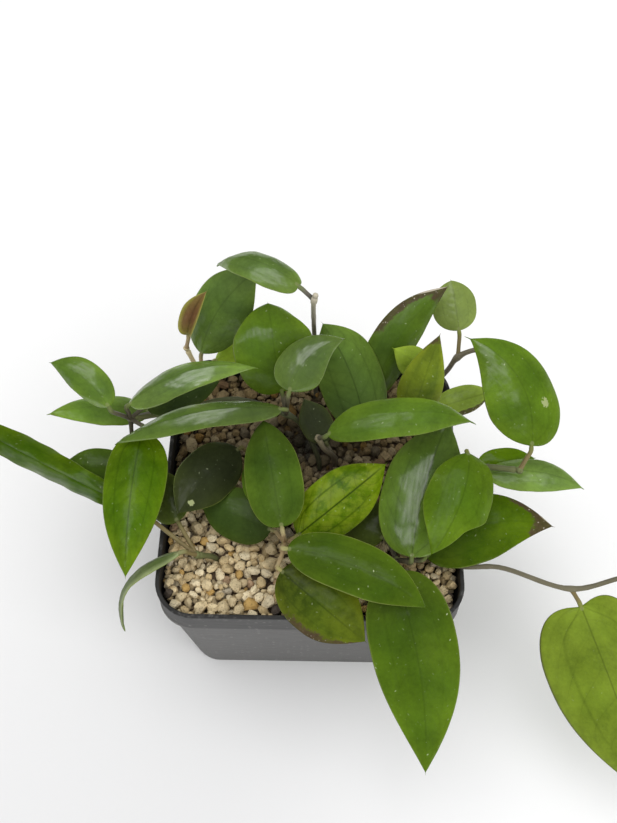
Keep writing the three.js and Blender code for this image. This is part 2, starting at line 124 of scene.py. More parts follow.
@dataclass
class Surface:
    """A closed surface: its corners in millimetres, its faces, and values kept at each corner."""

    points: np.ndarray
    quads: np.ndarray
    triangles: np.ndarray
    values: dict[str, np.ndarray] = field(default_factory=dict)

    def outward(self) -> "Surface":
        """The same surface with its faces turned so that its volume, a sum of signed cones, is above 0."""
        faces = [self.triangles, self.quads[:, [0, 1, 2]], self.quads[:, [0, 2, 3]]]
        a, b, c = (self.points[np.concatenate([f[:, k] for f in faces])] for k in range(3))
        if np.einsum("ij,ij->i", a, np.cross(b, c)).sum() < 0.0:
            self.quads = self.quads[:, ::-1]
            self.triangles = self.triangles[:, ::-1]
        return self

    @staticmethod
    def joined(parts: Iterable["Surface"]) -> "Surface":
        """All the parts as one surface, each part's faces numbered on from the last."""
        parts = list(parts)
        starts = np.cumsum([0] + [len(p.points) for p in parts])
        return Surface(
            np.concatenate([p.points for p in parts]),
            np.concatenate([p.quads + s for p, s in zip(parts, starts)]),
            np.concatenate([p.triangles + s for p, s in zip(parts, starts)]),
            {k: np.concatenate([p.values[k] for p in parts]) for k in parts[0].values},
        )

    def mesh(self, name: str) -> bpy.types.Mesh:
        """The surface as a mesh in metres."""
        mesh = bpy.data.meshes.new(name)
        mesh.from_pydata((self.points * MM).tolist(), [], self.quads.tolist() + self.triangles.tolist())
        return mesh

    def piece(self, name: str, material: bpy.types.Material, slot: str, *nodes: str) -> bpy.types.Object:
        """Makes the surface an object that rides on the part and stands for CAD nodes.

        Args:
            name: the piece's name.
            material: its finish.
            slot: the record's material slot; not used.
            nodes: the CAD nodes that it replaces.

        Returns:
            The new object, at the origin, with its place in its mesh.
        """
        mesh = self.mesh(name)
        mesh.polygons.foreach_set("use_smooth", np.ones(len(mesh.polygons), bool))
        for key, values in self.values.items():
            kind, item = {1: ("FLOAT", "value"), 2: ("FLOAT_VECTOR", "vector")}[values.ndim]
            attribute = mesh.attributes.new(key, kind, "POINT")
            attribute.data.foreach_set(item, values.astype(np.float32).ravel())
        mesh.materials.append(material)
        mesh.update()
        made = linked(name, mesh)
        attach(made, "root")
        if nodes:
            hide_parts(*nodes)
        log.info("%s: %d faces", name, len(mesh.polygons))
        return made


def skin(rings: np.ndarray, ends: Optional[np.ndarray] = None) -> Surface:
    """A closed surface through rings of corners, closed by a fan at each end.

    Args:
        rings: corners, as rings x corners round a ring x 3.
        ends: the two end points; the middles of the outer rings where it is left out.

    Returns:
        The surface. Its last two corners are the end points.
    """
    count, around, _ = rings.shape
    ends = np.stack([rings[0].mean(0), rings[-1].mean(0)]) if ends is None else ends
    here = np.arange(around)
    after = (here + 1) % around
    first = (np.arange(count - 1) * around)[:, None]
    quads = np.stack([first + here, first + after, first + around + after, first + around + here], -1)
    low, high = count * around, count * around + 1
    last = (count - 1) * around
    fans = [
        np.stack([np.full(around, low), after, here], -1),
        np.stack([np.full(around, high), last + here, last + after], -1),
    ]
    points = np.concatenate([rings.reshape(-1, 3), ends])
    return Surface(points, quads.reshape(-1, 4), np.concatenate(fans)).outward()


def at_rings(values: np.ndarray, around: int) -> np.ndarray:
    """Values of a skin's corners, from values given for each ring or for each corner of each ring.

    Args:
        values: rings, or rings x around, or rings x around x 3.
        around: corners round a ring.

    Returns:
        One value for each corner of the skin. The two end points have the mean of the ring next to them.
    """
    if values.ndim == 1:
        values = np.repeat(values[:, None], around, 1)
    ends = np.stack([values[0].mean(0), values[-1].mean(0)])
    return np.concatenate([values.reshape(-1, *values.shape[2:]), ends])


# ---- shader expressions ----


def operator(operation: str, swapped: bool = False) -> Callable[["Value", Any], "Value"]:
    """A method that feeds a Math node a value and another value or number, that one first where swapped."""

    def method(self: "Value", other: Union["Value", float]) -> "Value":
        """The node's result."""
        return self.maths(operation, other, self) if swapped else self.maths(operation, self, other)

    return method


class Value:
    """A number inside a material. Arithmetic on it adds Math nodes."""

    def __init__(self, graph: "Graph", socket: bpy.types.NodeSocket) -> None:
        """Wraps a node's output socket."""
        self.graph = graph
        self.socket = socket

    def maths(self, operation: str, *inputs: Union["Value", float]) -> "Value":
        """The result of a Math node on the inputs."""
        node = self.graph.node("ShaderNodeMath", {"operation": operation}, dict(enumerate(inputs)))
        return Value(self.graph, node.outputs[0])

    __add__ = operator("ADD")
    __radd__ = operator("ADD", swapped=True)
    __sub__ = operator("SUBTRACT")
    __rsub__ = operator("SUBTRACT", swapped=True)
    __mul__ = operator("MULTIPLY")
    __rmul__ = operator("MULTIPLY", swapped=True)
    __truediv__ = operator("DIVIDE")
    __pow__ = operator("POWER")

    def __abs__(self) -> "Value":
        """The size without its sign."""
        return self.maths("ABSOLUTE", self)

    def ramp(self, low: float, high: float) -> "Value":
        """0 at low and 1 at high, eased at both ends and clamped outside; low may be above high."""
        inputs = {"Value": self, "From Min": low, "From Max": high}
        node = self.graph.node("ShaderNodeMapRange", {"interpolation_type": "SMOOTHSTEP"}, inputs)
        return Value(self.graph, node.outputs["Result"])


Input = Union[Value, bpy.types.NodeSocket, float, int, tuple]


class Graph:
    """The node tree of one material, built around one Principled shader."""

    def __init__(self, name: str, **plain: float) -> None:
        """Starts a material whose shader takes its plain settings from plain, such as coat_weight=0.2."""
        self.material = bpy.data.materials.new(name)
        self.material.use_nodes = True
        self.tree = self.material.node_tree
        self.shader = self.tree.nodes["Principled BSDF"]
        for key, value in plain.items():
            self.shader.inputs[key.replace("_", " ").title().replace("Ior", "IOR")].default_value = value

    def node(self, kind: str, settings: dict[str, Any], inputs: dict[Any, Input]) -> bpy.types.Node:
        """Adds a node.

        Args:
            kind: the node's type.
            settings: its properties, set first.
            inputs: the value or link of each socket, by name or number.

        Returns:
            The node.
        """
        node = self.tree.nodes.new(kind)
        for key, value in settings.items():
            setattr(node, key, value)
        for key, value in inputs.items():
            self.feed(self.socket(node, key), value)
        return node

    @staticmethod
    def socket(node: bpy.types.Node, key: Union[str, int]) -> bpy.types.NodeSocket:
        """The node's input with that number, identifier or name."""
        if isinstance(key, int):
            return node.inputs[key]
        return next((s for s in node.inputs if s.identifier == key), None) or node.inputs[key]

    def feed(self, socket: bpy.types.NodeSocket, value: Input) -> None:
        """Links a value to a socket, or sets a plain number or colour on it."""
        value = value.socket if isinstance(value, Value) else value
        if isinstance(value, bpy.types.NodeSocket):
            self.tree.links.new(value, socket)
        elif isinstance(value, tuple) and socket.type == "RGBA":
            socket.default_value = (*value, 1.0)
        else:
            socket.default_value = value

    def mix(self, first: Input, second: Input, share: Input) -> bpy.types.NodeSocket:
        """The colour between two colours, at a share of the second."""
        inputs = {"Factor_Float": share, "A_Color": first, "B_Color": second}
        node = self.node("ShaderNodeMix", {"data_type": "RGBA", "clamp_factor": True}, inputs)
        return next(s for s in node.outputs if s.identifier == "Result_Color")

    def shade(self, colour: Input, factor: Input) -> bpy.types.NodeSocket:
        """A colour times a number."""
        node = self.node("ShaderNodeVectorMath", {"operation": "SCALE"}, {"Vector": colour, "Scale": factor})
        return node.outputs["Vector"]

    def shaded(self, colour: Input, factor: Input, share: Input) -> bpy.types.NodeSocket:
        """A colour that is multiplied by a number at a share of it."""
        return self.mix(colour, self.shade(colour, factor), share)

    def attribute(self, name: str) -> bpy.types.NodeSocket:
        """A vector kept at the mesh's corners."""
        return self.node("ShaderNodeAttribute", {"attribute_name": name}, {}).outputs["Vector"]

    def number(self, name: str) -> Value:
        """A number kept at the mesh's corners."""
        return Value(self, self.node("ShaderNodeAttribute", {"attribute_name": name}, {}).outputs["Fac"])

    def parts(self, vector: Input) -> tuple[Value, Value, Value]:
        """The three numbers of a vector."""
        node = self.node("ShaderNodeSeparateXYZ", {}, {"Vector": vector})
        return tuple(Value(self, s) for s in node.outputs)

    def place(self) -> bpy.types.NodeSocket:
        """Object coordinates, in metres."""
        return self.node("ShaderNodeTexCoord", {}, {}).outputs["Object"]

    def stretched(self, vector: Input, scale: Triple, turn: float = 0.0) -> bpy.types.NodeSocket:
        """A vector turned back about its third axis and then scaled along each axis."""
        size = tuple(1.0 / s if s else 0.0 for s in scale)
        inputs = {"Vector": vector, "Rotation": (0.0, 0.0, turn), "Scale": size}
        return self.node("ShaderNodeMapping", {"vector_type": "TEXTURE"}, inputs).outputs["Vector"]

    def noise(self, vector: Input, scale: float, detail: float = 2.0, rough: float = 0.5) -> Value:
        """Cloudy noise from 0 to 1."""
        inputs = {"Vector": vector, "Scale": scale, "Detail": detail, "Roughness": rough}
        return Value(self, self.node("ShaderNodeTexNoise", {}, inputs).outputs[0])

    def cells(self, vector: Input, scale: float) -> tuple[Value, Value]:
        """Scattered points: the distance from the nearest one, in cells, and a random number for each."""
        node = self.node("ShaderNodeTexVoronoi", {}, {"Vector": vector, "Scale": scale})
        return Value(self, node.outputs["Distance"]), self.parts(node.outputs["Color"])[0]

    def finish(
        self, colour: Input, roughness: Input, height: Value, depth: float, coat: Input = 0.0
    ) -> bpy.types.Material:
        """Feeds the shader and gives the material back.

        Args:
            colour: the base colour.
            roughness: the roughness.
            height: the relief, where 1 stands depth above 0.
            depth: the relief's full height in millimetres.
            coat: how much of the clear glossy coat there is.

        Returns:
            The finished material.
        """
        bump = self.node("ShaderNodeBump", {}, {"Height": height, "Distance": depth * MM, "Strength": 1.0})
        self.feed(self.shader.inputs["Base Color"], colour)
        self.feed(self.shader.inputs["Roughness"], roughness)
        self.feed(self.shader.inputs["Normal"], bump.outputs["Normal"])
        self.feed(self.shader.inputs["Coat Weight"], coat)
        return self.material


# ---- finishes ----


@dataclass(frozen=True)
class PotFinish:
    """Dark grey moulded plastic: fine level lines, pale dashes, a paler line under the band, and painted
    shade that makes the inside near black.

    band_foot and rim are the heights of the band's foot and of the rim's top, in millimetres.
    """

    wall: Triple = (0.130, 0.128, 0.124)
    band: Triple = (0.079, 0.078, 0.076)
    # painted shade: the near black of the pot's inside
    inside: Triple = (0.026, 0.025, 0.024)
    dust: Triple = (0.38, 0.37, 0.35)
    band_foot: float = 54.0
    rim: float = 65.0

    def material(self) -> bpy.types.Material:
        """Builds the finish. The number kept as inner is 1 on the pot's inside, which is painted near black
        as shade.
        """
        g = Graph("pot_plastic", ior=1.46)
        place = g.place()
        _, _, z = g.parts(place)
        lines = g.noise(g.stretched(place, (110.0, 110.0, 2600.0)), 1.0, 3.0)
        cloud = g.noise(place, 38.0, 4.0)
        dash, chance = g.cells(g.stretched(place, (420.0, 420.0, 1500.0)), 1.0)
        speck = dash.ramp(0.30, 0.12) * chance.ramp(0.66, 0.88)
        foot, rim = self.band_foot * MM, self.rim * MM
        base = g.mix(self.wall, self.band, z.ramp(foot - 0.3 * MM, foot + 0.3 * MM))
        base = g.shade(base, 0.28 + 0.34 * cloud + 1.10 * lines)
        base = g.mix(base, self.dust, abs(z - (foot + 0.2 * MM)).ramp(0.6 * MM, 0.1 * MM) * 0.3)
        base = g.mix(base, self.dust, speck * 0.6)
        # a bloom of dust near the rim
        bloom_and_sheen = g.noise(place, 420.0, 5.0, 0.7).ramp(0.50, 0.78) * z.ramp(rim - 5.0 * MM, rim + 0.2 * MM)
        base = g.shaded(base, 0.34, z.ramp(rim - 1.4 * MM, rim - 0.2 * MM))
        base = g.mix(base, self.dust, bloom_and_sheen * 0.35)
        # painted shade: the inside darkened to near black
        base = g.mix(base, self.inside, g.number("inner"))
        rough = 0.48 + 0.22 * cloud + 0.1 * lines
        return g.finish(base, rough, 0.75 * lines + 0.25 * g.noise(place, 1800.0, 2.0), 0.13)


@dataclass(frozen=True)
class PumiceFinish:
    """Rough porous grains. Their own colours are kept as grain, and deep is how far down each lies; pores and
    lower grains are darkened as dirt and painted shade.
    """

    # dirt and painted shade: the dark brown of pores and of the gaps low down
    dirt_and_shade: Triple = (0.085, 0.058, 0.036)

    def material(self) -> bpy.types.Material:
        """Builds the finish."""
        g = Graph("pumice_stone", specular_ior_level=0.2)
        place = g.place()
        fine = g.noise(place, 1700.0, 4.0, 0.65)
        broad = g.noise(place, 420.0, 3.0)
        pit, chance = g.cells(place, 2100.0)
        hole = pit.ramp(0.42, 0.2) * chance.ramp(0.5, 0.85)
        base = g.shade(g.attribute("grain"), 0.46 + 0.62 * fine + 0.46 * broad)
        # pores: dirt in them and painted shade
        base = g.mix(base, self.dirt_and_shade, hole * 0.6)
        # painted shade: grains lower down, in the gaps, are darkened
        base = g.mix(base, self.dirt_and_shade, g.number("deep") * (0.45 + broad.ramp(0.62, 0.4) * 0.4))
        relief = 0.5 * fine + 0.3 * broad - 0.35 * hole
        return g.finish(base, 0.9 + 0.08 * fine, relief, 0.42)


@dataclass(frozen=True)
class BarkFinish:
    """Young bark: lengthwise lines and pale corky dots. Its colours are kept as bark."""

    cork: Triple = (0.36, 0.31, 0.23)

    def material(self) -> bpy.types.Material:
        """Builds the finish. grain_way holds millimetres round the stem and along it."""
        g = Graph("young_bark", specular_ior_level=0.45)
        place = g.place()
        way = g.attribute("grain_way")
        lines = g.noise(g.stretched(way, (2.6, 0.35, 1.0)), 1.0, 3.0)
        cloud = g.noise(place, 260.0, 3.0)
        dot, chance = g.cells(g.stretched(way, (1.2, 0.7, 1.0)), 1.0)
        cork = dot.ramp(0.3, 0.12) * chance.ramp(0.66, 0.86)
        base = g.shade(g.attribute("bark"), 0.62 + 0.42 * lines + 0.35 * cloud)
        base = g.mix(base, self.cork, cork * 0.4)
        return g.finish(base, 0.42 + 0.25 * cloud, 0.7 * lines + 0.3 * cork, 0.12)


@dataclass(frozen=True)
class LeafFinish:
    """Waxy leaf: tint kept at the corners, with nerves, mottling, pale flecks, browned patches and scars.

    The vector blade holds millimetres across and along from the base, and the side, 1 above and 0 below.
    The vector share holds the shares u, from -1 to 1 across, t along, and the amount of flecks.
    The vector age holds the amounts of browning, of pale blotches and of nerve contrast.
    The vectors spot and blot hold a scar's and a pale patch's place across and along, and their radius.
    crowd is the number of side nerves in a half, and each row of strokes holds one sort of fleck: the spacing
    along its own axes in millimetres, their turn, how rare it is and its size in cells.
    """

    fleck: Triple = (0.46, 0.52, 0.30)
    scar: Triple = (0.72, 0.70, 0.60)
    bleached: Triple = (0.38, 0.42, 0.20)
    brown: Triple = (0.078, 0.050, 0.031)
    dead: Triple = (0.52, 0.47, 0.37)
    yellow: Triple = (0.20, 0.26, 0.015)
    under: Triple = (0.15, 0.20, 0.06)
    joint: Triple = (0.27, 0.28, 0.13)
    crowd: float = 7.0
    strokes: tuple[tuple[Triple, float, float, float], ...] = (
        ((0.95, 0.42, 0.0), 0.6, 0.87, 0.24),
        ((0.90, 0.50, 0.0), -1.0, 0.90, 0.24),
        ((0.75, 0.75, 0.0), 0.2, 0.91, 0.24),
        ((0.34, 0.30, 0.0), 0.0, 0.90, 0.09),
    )

    def marks(self, g: Graph, blade: Input, place: Input) -> Value:
        """Pale flecks: dots and short strokes in two directions, thicker in loose groups."""
        group = 0.22 + g.noise(place, 65.0, 1.0).ramp(0.44, 0.60)
        marks = []
        for scale, turn, rare, size in self.strokes:
            near, luck = g.cells(g.stretched(blade, scale, turn), 1.0)
            marks.append(near.ramp(size, size * 0.3) * luck.ramp(rare, rare + 0.14))
        return group.maths("MINIMUM", sum(marks) * group, 1.0)

    def disc(self, x: Value, y: Value, vector: Input) -> Value:
        """Distance from the place that the vector holds, in its own radius."""
        px, py, radius = x.graph.parts(vector)
        return ((x - px) ** 2.0 + (y - py) ** 2.0) ** 0.5 / radius

    def material(self) -> bpy.types.Material:
        """Builds the finish."""
        g = Graph("leaf_wax", ior=1.5, specular_ior_level=0.02, coat_roughness=0.23, coat_ior=2.0)
        place, blade = g.place(), g.attribute("blade")
        x, y, above = g.parts(blade)
        u, t, flecks = g.parts(g.attribute("share"))
        creep, blotch, nerves = g.parts(g.attribute("age"))
        broad = g.noise(place, 80.0, 2.0)
        cloud = g.noise(place, 240.0, 4.0, 0.65)
        fine = g.noise(place, 900.0, 3.0, 0.6)
        cell, _ = g.cells(place, 2300.0)

        # nerves: the midrib, one along each half, and side nerves that bow towards the tip
        side = abs(u)
        rib = abs(x).ramp(0.40, 0.10) * t.ramp(1.0, 0.75)
        lateral = abs(side - 0.5 * t.ramp(-0.06, 0.16) - 0.04).ramp(0.05, 0.0) * t.ramp(0.86, 0.5)
        # rank counts the side nerves, which a slow wave bends and which don't face each other across the rib
        rank = self.crowd * (t - 0.16 * side - 0.24 * side**3.0) + u.ramp(-0.01, 0.01) * 0.4
        away = abs(rank.maths("FRACT", rank + rank.maths("SINE", t * 9.0 + side * 3.0) * 0.12) - 0.5)
        cross = away.ramp(0.055, 0.01) * side.ramp(0.92, 0.6) * t.ramp(0.97, 0.85)
        vein = rib.maths("MAXIMUM", rib, lateral * 0.6)
        pillow = away.ramp(0.0, 0.35) * side.ramp(0.02, 0.2)

        # the blade's own colour, mottled, yellowed in blotches and darker along its nerves
        uneven = broad.ramp(0.30, 0.70) * 0.24 + cloud.ramp(0.28, 0.72) * 0.14
        net, _ = g.cells(g.stretched(blade, (1.1, 0.8, 0.0), 0.35), 1.0)
        base = g.shade(g.attribute("tint"), 0.68 + uneven + 0.14 * fine.ramp(0.25, 0.75) + 0.06 * net)
        between = (1.0 - 0.8 * vein) * cloud.ramp(0.36, 0.62)
        base = g.mix(base, self.yellow, between * blotch)
        base = g.shaded(base, 1.22, pillow * nerves * (0.2 + 0.8 * broad))
        base = g.shaded(base, 0.42, vein * nerves * (0.7 + 0.9 * broad))
        base = g.shaded(base, 0.55, cross * nerves * broad * 0.75)

        # pale flecks and smears
        marks = self.marks(g, blade, place) * flecks * above
        base = g.mix(base, self.fleck, marks * 0.62)
        smear = g.noise(g.stretched(blade, (0.62, 0.5, 0.0), 0.5), 1.0, 4.0, 0.75).ramp(0.66, 0.76)
        base = g.mix(base, g.mix(base, self.fleck, 0.45), smear * above * flecks)

        # browned margins with dead crumbs on them
        patch = (creep + 0.8 * (cloud - 0.5) + 0.6 * (fine - 0.5)).ramp(0.40, 0.66)
        base = g.mix(base, g.shade(self.brown, 0.4 + 0.9 * fine), patch * (0.55 + 0.6 * cloud))
        grit, luck = g.cells(g.stretched(blade, (1.5, 1.1, 0.0), 0.4), 1.0)
        crumbs = grit.ramp(0.34, 0.16) * luck.ramp(0.60, 0.72) * creep.ramp(0.5, 0.9) * above
        base = g.mix(base, self.dead, crumbs * 0.75)
        base = g.mix(base, self.dead, creep.ramp(1.25, 1.5) * 0.85)

        # one scar, one worn patch, and the pale joint where the petiole comes in
        away = self.disc(x, y, g.attribute("spot"))
        mark = away.ramp(1.15, 0.8) * above
        base = g.shaded(base, 0.4, away.ramp(2.1, 1.2) * above * 0.5)
        base = g.mix(base, self.scar, mark)
        worn = self.disc(x, y, g.attribute("blot")) + 1.1 * (cloud - 0.5) + 2.4 * (fine - 0.5)
        base = g.mix(base, self.bleached, worn.ramp(1.1, 0.8) * above * 0.75)
        joint = ((x**2.0 + (y - 0.6) ** 2.0) ** 0.5).ramp(0.9, 0.4)
        base = g.mix(base, self.joint, joint * above * 0.4)

        # the underside, and then the sheen and the relief
        pale = g.mix(self.under, g.shade(self.under, 0.7), 0.6 * vein + 0.4 * broad)
        base = g.mix(base, pale, (1.0 - above) * 0.85)
        rough = 0.34 + 0.12 * broad + 0.08 * cloud + 0.15 * marks + 0.3 * patch
        streaks = g.noise(g.stretched(blade, (0.9, 0.10, 0.0), 0.06), 1.0, 4.0, 0.7).ramp(0.3, 0.7)
        sheen = g.number("gloss") * (0.14 + 0.5 * cloud + 1.0 * streaks)
        sheen_wax = sheen * (1.0 - 0.7 * patch) * (0.3 + 0.7 * above)
        sunk = (vein + 0.7 * cross) * above * (0.15 + nerves)
        relief = 0.4 * broad + 0.3 * cloud + 0.1 * cell + 0.15 * fine - 0.5 * sunk + 0.2 * marks
        return g.finish(base, rough, relief + 0.6 * mark, 0.12, sheen_wax)


# ---- the pot ----


@dataclass
class NurseryPot:
    """A square moulded pot with rounded corners, a rim band and drain holes, sized as in the CAD part.

    width is the rim's and base the underside's, ledge is how far the band stands out from the wall below it,
    foot_round, lip and inner_round are the radii of the foot's, the rim's outer and its inner edge, and
    floor_round is that of the corner between the wall and the floor inside.
    """

    width: float = 100.0
    base: float = 85.0
    height: float = 65.0
    band: float = 11.0
    ledge: float = 1.3
    wall: float = 1.4
    floor: float = 1.8
    rim_corner: float = 13.0
    foot_corner: float = 9.0
    foot_round: float = 0.9
    lip: float = 0.5
    inner_round: float = 0.4
    floor_round: float = 1.0
    drain: float = 3.0
    drain_pitch: float = 27.0
    drain_corners: int = 24
    crease: float = 40.0
    corner_steps: int = 10
    edge_steps: int = 8

    def squares(self, profile: np.ndarray) -> np.ndarray:
        """Rounded squares: a quarter circle at each corner, its ends joined by straight sides.

        Args:
            profile: rows of half the width, the corner's radius and the height.

        Returns:
            Corners, as rows x around x 3.
        """
        half, corner, z = profile.T
        corner = np.minimum(corner, half * 0.98)
        angle = np.arange(4)[:, None] * (np.pi / 2) + np.linspace(0, np.pi / 2, self.corner_steps + 1)
        sign = np.array([[1, 1], [-1, 1], [-1, -1], [1, -1]])[:, None, :]
        circle = np.stack([np.cos(angle), np.sin(angle)], -1)
        arcs = (half - corner)[:, None, None, None] * sign + corner[:, None, None, None] * circle
        share = np.arange(1, self.edge_steps + 1)[:, None] / (self.edge_steps + 1)
        sides = arcs[:, :, -1:, :] * (1 - share) + np.roll(arcs, -1, 1)[:, :, :1, :] * share
        flat = np.concatenate([arcs, sides], 2).reshape(len(half), -1, 2)
        return np.concatenate([flat, np.broadcast_to(z[:, None, None], (*flat.shape[:2], 1))], -1)

    def wall_at(self, z: np.ndarray) -> tuple[np.ndarray, np.ndarray]:
        """Half the wall's outside width and its corner radius, both linear in height up to the band."""
        share = np.minimum(z, self.height - self.band) / (self.height - self.band)
        half = self.base / 2 + (self.width / 2 - self.ledge - self.base / 2) * share
        return half, self.foot_corner + (self.rim_corner - self.ledge - self.foot_corner) * share

    def profile(self) -> tuple[np.ndarray, np.ndarray]:
        """The section, from the underside's middle up the outside, over the lip and down to the floor.

        Returns:
            Rows of half width, corner radius and height, and for each row 1 on the inside and 0 outside.
        """
        foot, rim = self.height - self.band, self.width / 2
        turn = np.linspace(0.0, np.pi / 2, 5)
        corner = self.rim_corner
        rows: list[tuple[float, float, float, float]] = []

        def wall(z: Iterable[float], out: float, inner: float) -> None:
            """Adds rows that lie out from the wall's own outside."""
            for height in z:
                half, corner = self.wall_at(np.array(height))
                rows.append((half + out, corner + out, height, inner))

        # the underside, the rounded foot and the outside
        for share in (0.12, 0.3, 0.5, 0.7, 0.9):
            rows.append((self.base / 2 * share, self.foot_corner * share, 0.0, 0.0))
        r = self.foot_round
        for a in turn:
            rows.append((self.base / 2 - r + r * np.sin(a), self.foot_corner, r - r * np.cos(a), 0.0))
        wall(np.linspace(4.0, foot - 0.5, 14), 0.0, 0.0)
        # the step under the band, the band and the lip
        step = ((rim - self.ledge + 0.15, foot - 0.05), (rim - 0.75, foot), (rim - 0.35, foot + 0.15))
        for half, z in step:
            rows.append((half, corner - self.ledge, z, 0.0))
        for z in (foot + 0.6, foot + 3.0, foot + 6.0, foot + 8.6):
            rows.append((rim - 0.24 + 0.2 * (z - foot) / self.band, corner, z, 0.0))
        r = self.lip
        for a in turn:
            rows.append((rim - r + r * np.cos(a), corner, self.height - r + r * np.sin(a), 0.0))
        # over the lip and down the inside
        inside, r = rim - self.wall, self.inner_round
        low = self.height - r
        for a in turn[::-1]:
            rows.append((inside + r - r * np.cos(a), corner - self.wall, low + r * np.sin(a), 0.4))
        for z in (self.height - 1.5, self.height - 4.0, foot + 1.5):
            rows.append((inside, corner - self.wall, z, 1.0))
        wall(np.linspace(foot - 1.0, self.floor + 1.2, 9), -self.wall, 1.0)
        # round the inner corner and over the floor
        half, corner = self.wall_at(np.array(self.floor))
        inside, r = half - self.wall, self.floor_round
        for a in turn:
            rows.append((inside - r + r * np.cos(a), corner - self.wall, self.floor + r - r * np.sin(a), 1.0))
        for share in (0.9, 0.7, 0.5, 0.3, 0.12):
            rows.append((half * share, self.foot_corner * share, self.floor, 1.0))
        table = np.array(rows)
        return table[:, :3], table[:, 3]

    def build(self) -> bpy.types.Object:
        """Makes the pot and cuts its drain holes."""
        section, inner = self.profile()
        rings = self.squares(section)
        shell = skin(rings, np.array([[0, 0, 0], [0, 0, self.floor]], float))
        # inner marks the inside, which the finish paints near black as shade
        shell.values["inner"] = at_rings(inner, rings.shape[1])
        finish = PotFinish(band_foot=self.height - self.band, rim=self.height)
        pot = shell.piece("pot_shell", finish.material(), "pot", "pot")
        angle = circle(self.drain_corners)
        ring = np.stack([np.cos(angle), np.sin(angle), angle * 0], -1) * self.drain
        places = [(x, y, 0) for x in (-1, 0, 1) for y in (-1, 0, 1) if x or y]
        holes = [ring + np.array(place) * self.drain_pitch for place in places]
        cutters = Surface.joined(skin(np.stack([hole - (0, 0, 3), hole + (0, 0, 6)])) for hole in holes)
        tool = linked("drains", cutters.mesh("drains"))
        cut = pot.modifiers.new("drains", "BOOLEAN")
        cut.object, cut.operation, cut.solver = tool, "DIFFERENCE", "EXACT"
        bpy.context.view_layer.update()
        graph = bpy.context.evaluated_depsgraph_get()
        result = bpy.data.meshes.new_from_object(pot.evaluated_get(graph), depsgraph=graph)
        pot.modifiers.clear()
        pot.data = result
        result.name = "pot_shell"
        bpy.data.objects.remove(tool)
        smooth_by_angle(pot, self.crease)
        return pot


# ---- the pumice ----


